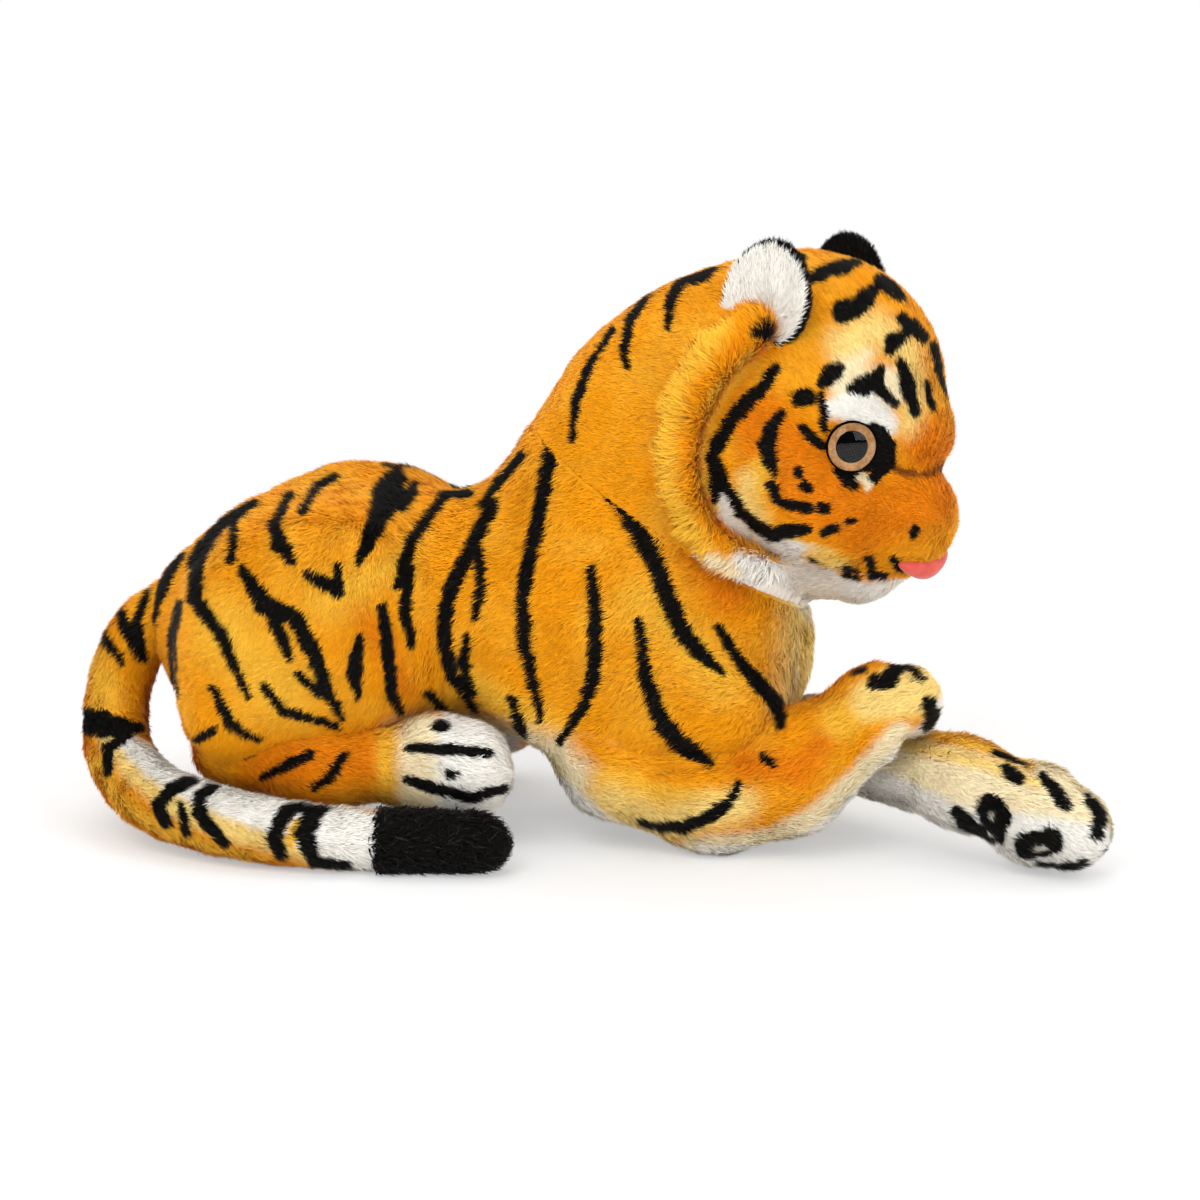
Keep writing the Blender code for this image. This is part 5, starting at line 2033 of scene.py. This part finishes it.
def turned(
    axes: Axes, profile: Sequence[tuple[float, float]], around: int = 72
) -> tuple[Points, np.ndarray]:
    """A turned shape about a frame's Z axis.

    Args:
        axes: its frame in the head.
        profile: radius and height in millimetres, from the middle of the front round to the back.
        around: points round it.

    Returns:
        Points in the toy's millimetres, and quads.
    """
    angle = np.arange(around) * 2 * math.pi / around
    rows = [np.stack([r * np.cos(angle), r * np.sin(angle), angle * 0 + z], 1) for r, z in profile]
    return from_head(axes.out(np.concatenate(rows))), ring_quads(len(rows), around)


@dataclass
class Eyes:
    """Safety eyes: bronze ring, black pupil and a clear dome.

    Attributes:
        pattern: the shared forms.
        place: x, distance from the middle and z on the head.
        facing: direction of the right eye, with its Y turned outwards.
        root: how far inside the head the eye's line starts.
        iris: radius and height along the bronze plate.
        pupil: the same along the black pupil.
        rim: the same along the black rim.
        dome_radius: radius of the clear dome.
        dome_base: height of its edge.
        dome_height: how far it bulges.
    """

    pattern: Pattern
    place: tuple[float, float, float] = (37.5, 40.5, 2.4)
    facing: tuple[float, float, float] = (0.66, 0.74, 0.06)
    root: float = 30.0
    iris: tuple[tuple[float, float], ...] = (
        (0, 0.9), (6.9, 0.9), (7.1, 1.3), (9.9, 1.0), (10.6, 1.4), (10.9, 0.6), (10.9, -1.0),
        (0, -1.0))
    pupil: tuple[tuple[float, float], ...] = (
        (0, 1.5), (6.6, 1.45), (7.0, 1.2), (7.0, 0.5), (0, 0.5))
    rim: tuple[tuple[float, float], ...] = (
        (10.4, 0.2), (10.5, 1.5), (11.0, 1.5), (11.2, 0.2), (10.4, 0.2))
    dome_radius: float = 10.6
    dome_base: float = 1.6
    dome_height: float = 4.7

    def axes(self, sign: float) -> Axes:
        """Seats an eye on the head's skin.

        Args:
            sign: the side's sign.

        Returns:
            The eye's frame in the head.
        """
        place = np.array(self.place) * (1, sign, 1)
        facing = np.array(self.facing) * (1, sign, 1)
        facing /= np.linalg.norm(facing)
        seat = self.pattern.head.reach((place - facing * self.root)[None], facing[None], 0.0)[0]
        return Axes(seat - facing, facing, np.array([0.0, 0.0, 1.0]))

    def build(self) -> list[bpy.types.Object]:
        """Makes both eyes and gives the hidden washers their plastic.

        Returns:
            Their objects.
        """
        clear, bronze, black = clear_plastic(), IRIS_BRONZE.build(), PUPIL_BLACK.build()
        washer = WASHER_WHITE.build()
        dome = [
            (self.dome_radius * math.sin(t), self.dome_base + self.dome_height * math.cos(t))
            for t in np.linspace(0, math.pi / 2, 22)]
        pieces = []
        for side in Side:
            axes, name = self.axes(side.value), f"eye_{side.word}"
            rows = (
                ("iris", self.iris, bronze, "bronze_eye"),
                ("pupil", self.pupil, black, "bronze_eye"),
                ("rim", self.rim, black, "bronze_eye"),
                ("clear_dome", dome, clear, "clear_dome"),
            )
            made = {}
            for part, profile, material, slot in rows:
                obj = mesh_object(f"{name}_{part}", *turned(axes, profile), material)
                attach(obj, "head")
                made[part] = obj
            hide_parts(f"{name}_backing")
            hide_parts(f"{name}_dome")
            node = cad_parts[f"{name}_washer"]
            node.data.materials.clear()
            node.data.materials.append(washer)
            pieces += made.values()
        return pieces


@dataclass
class Nose:
    """The coral nose: a soft, rounded triangle of velour.

    Attributes:
        place: its middle in the head's frame.
        facing: where it looks.
        up: a direction near its top.
        half_wide: half its width.
        half_high: half its height.
        half_thick: half its thickness.
        around: points round it.
        rings: rings from front to back.
    """

    place: tuple[float, float, float] = (68.0, -1.0, -46.2)
    facing: tuple[float, float, float] = (0.86, -0.05, -0.50)
    up: tuple[float, float, float] = (0.0, -0.16, 1.0)
    half_wide: float = 18.0
    half_high: float = 5.6
    half_thick: float = 5.0
    around: int = 72
    rings: int = 36

    def build(self) -> list[bpy.types.Object]:
        """Makes the nose.

        Returns:
            Its one object.
        """
        axes = Axes(np.array(self.place), np.array(self.facing), np.array(self.up))
        turn = np.arange(self.around) * 2 * math.pi / self.around
        angle, tilt = np.meshgrid(turn, np.linspace(0, math.pi, self.rings))
        radius = np.sin(tilt)
        x, y = radius * np.cos(angle), radius * np.sin(angle)
        wide = self.half_wide * (0.88 + 0.14 * y - 0.04 * np.cos(3 * angle))
        high = y * self.half_high - 1.3 * (1 - x * x)
        thick = np.cos(tilt) * self.half_thick - 4.4 * x * x
        points = from_head(axes.out(np.stack([x * wide, high, thick], 2).reshape(-1, 3)))
        faces = ring_quads(self.rings, self.around)
        obj = mesh_object("nose_velour", points, faces, NOSE_CLOTH.build())
        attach(obj, "head")
        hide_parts("nose_pad")
        return [obj]


@dataclass
class Studio:
    """Pale floor, soft lamps, white surroundings and the photograph's camera.

    Attributes:
        half: half the floor's side in metres.
        fade_from: how far from the toy the floor begins to turn pure white, in metres.
        fade_to: how far away it is all white.
        aim: the point that the lamps look at, in metres.
        lamps: name, place, side in metres and power in watts of each lamp.
    """

    half: float = 30.0
    fade_from: float = 0.45
    fade_to: float = 0.9
    aim: tuple[float, float, float] = (0.0, 0.0, 0.1)
    lamps: tuple[tuple[str, tuple[float, float, float], float, float], ...] = (
        ("key_softbox", (-0.5, -1.5, 1.7), 1.3, 19.0),
        ("fill_softbox", (1.4, -1.2, 0.9), 1.2, 9.5),
        ("top_softbox", (0.0, 0.5, 1.8), 1.4, 10.0),
    )

    def build(self) -> None:
        """Sets the whole studio up."""
        self.floor()
        self.world()
        for lamp in self.lamps:
            self.lamp(*lamp)
        self.camera()
        bpy.context.scene.view_settings.view_transform = "Standard"

    def floor(self) -> None:
        """A pale sheet that fades into white and keeps the toy's soft shadow."""
        data = bpy.data.meshes.new("studio_floor")
        signs = ((-1, -1), (1, -1), (1, 1), (-1, 1))
        corners = [(x * self.half, y * self.half, 0) for x, y in signs]
        data.from_pydata(corners, [], [(0, 1, 2, 3)])
        floor = linked("studio_floor", data)
        data.materials.append(self.card())

    def card(self) -> bpy.types.Material:
        """Matt white card, lit enough to look white near the toy and pure white further off.

        Returns:
            The material.
        """
        material = bpy.data.materials.new("matt_white_card")
        tree = empty_tree(material)
        place = add_node(tree, "ShaderNodeTexCoord").outputs["Object"]
        noise = add_node(tree, "ShaderNodeTexNoise", {
            "Vector": place, "Scale": 60.0}).outputs["Fac"]
        tone = add_node(tree, "ShaderNodeMapRange", {
            "Value": noise, "To Min": 0.46, "To Max": 0.48}).outputs[0]
        card = add_node(tree, "ShaderNodeBsdfDiffuse", {"Color": tone}).outputs[0]
        glow = add_node(tree, "ShaderNodeEmission", {
            "Color": (1, 1, 1, 1), "Strength": 0.41}).outputs[0]
        seen = add_node(tree, "ShaderNodeLightPath").outputs["Is Camera Ray"]
        lit = add_node(tree, "ShaderNodeAddShader", {0: card, 1: glow}).outputs[0]
        away = add_node(
            tree, "ShaderNodeVectorMath", {0: place}, operation="LENGTH").outputs["Value"]
        fade = add_node(tree, "ShaderNodeMapRange", {
            "Value": away, "From Min": self.fade_from, "From Max": self.fade_to,
        }, interpolation_type="SMOOTHSTEP").outputs[0]
        white = add_node(tree, "ShaderNodeEmission", {
            "Color": (1, 1, 1, 1), "Strength": 1.0}).outputs[0]
        spread = add_node(tree, "ShaderNodeMixShader", {0: fade, 1: lit, 2: white}).outputs[0]
        bounce = add_node(tree, "ShaderNodeBsdfDiffuse", {
            "Color": (0.92, 0.91, 0.90, 1)}).outputs[0]
        mix = add_node(tree, "ShaderNodeMixShader", {0: seen, 1: bounce, 2: spread}).outputs[0]
        add_node(tree, "ShaderNodeOutputMaterial", {"Surface": mix})
        return material

    def world(self) -> None:
        """White surroundings: pure white to the camera and soft light for the toy."""
        world = bpy.data.worlds.new("white_surroundings")
        bpy.context.scene.world = world
        tree = empty_tree(world)
        seen = add_node(tree, "ShaderNodeLightPath").outputs["Is Camera Ray"]
        glossy = add_node(tree, "ShaderNodeLightPath").outputs["Is Glossy Ray"]
        soft = add_node(tree, "ShaderNodeMapRange", {
            "Value": glossy, "To Min": 0.92, "To Max": 0.06}).outputs[0]
        level = add_node(tree, "ShaderNodeMapRange", {
            "Value": seen, "To Min": soft, "To Max": 1.0}).outputs[0]
        sky = add_node(tree, "ShaderNodeBackground", {
            "Color": (1, 1, 1, 1), "Strength": level}).outputs[0]
        add_node(tree, "ShaderNodeOutputWorld", {"Surface": sky})

    def lamp(self, name: str, place: Sequence[float], size: float, power: float) -> None:
        """Adds a square softbox aimed at the toy.

        Args:
            name: its name.
            place: where it stands, in metres.
            size: its side in metres.
            power: its power in watts.
        """
        data = bpy.data.lights.new(name, "AREA")
        data.shape, data.size, data.energy = "SQUARE", size, power
        lamp = linked(name, data)
        lamp.location = place
        lamp.rotation_mode = "QUATERNION"
        lamp.rotation_quaternion = (Vector(self.aim) - Vector(place)).to_track_quat("-Z", "Y")

    def camera(self) -> None:
        """Sets the camera where the photograph was taken from."""
        data = bpy.data.cameras.new("camera")
        data.lens, data.sensor_width = LENS_MM, SENSOR_MM
        camera = linked("camera", data)
        camera.location = Vector((LENS.place + SHIFT_MM) * MM)
        camera.rotation_mode = "QUATERNION"
        camera.rotation_quaternion = (-Vector(LENS.back)).to_track_quat("-Z", "Y")
        bpy.context.scene.camera = camera


def main() -> None:
    """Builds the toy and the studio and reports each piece."""
    logging.basicConfig(level=logging.INFO, format="%(name)s: %(message)s")
    forms = Pattern()
    parts = (
        Torso(forms), HindLegs(forms), Forelegs(forms), Tail(forms), Head(forms), Ruffs(forms),
        Ears(forms), Eyes(forms), Nose(),
    )
    for part in parts:
        for piece in part.build():
            log.info("%s: %s, %d faces", type(part).__name__, piece.name, len(piece.data.polygons))
    Studio().build()
    bpy.context.view_layer.update()


if __name__ == "__main__":
    main()
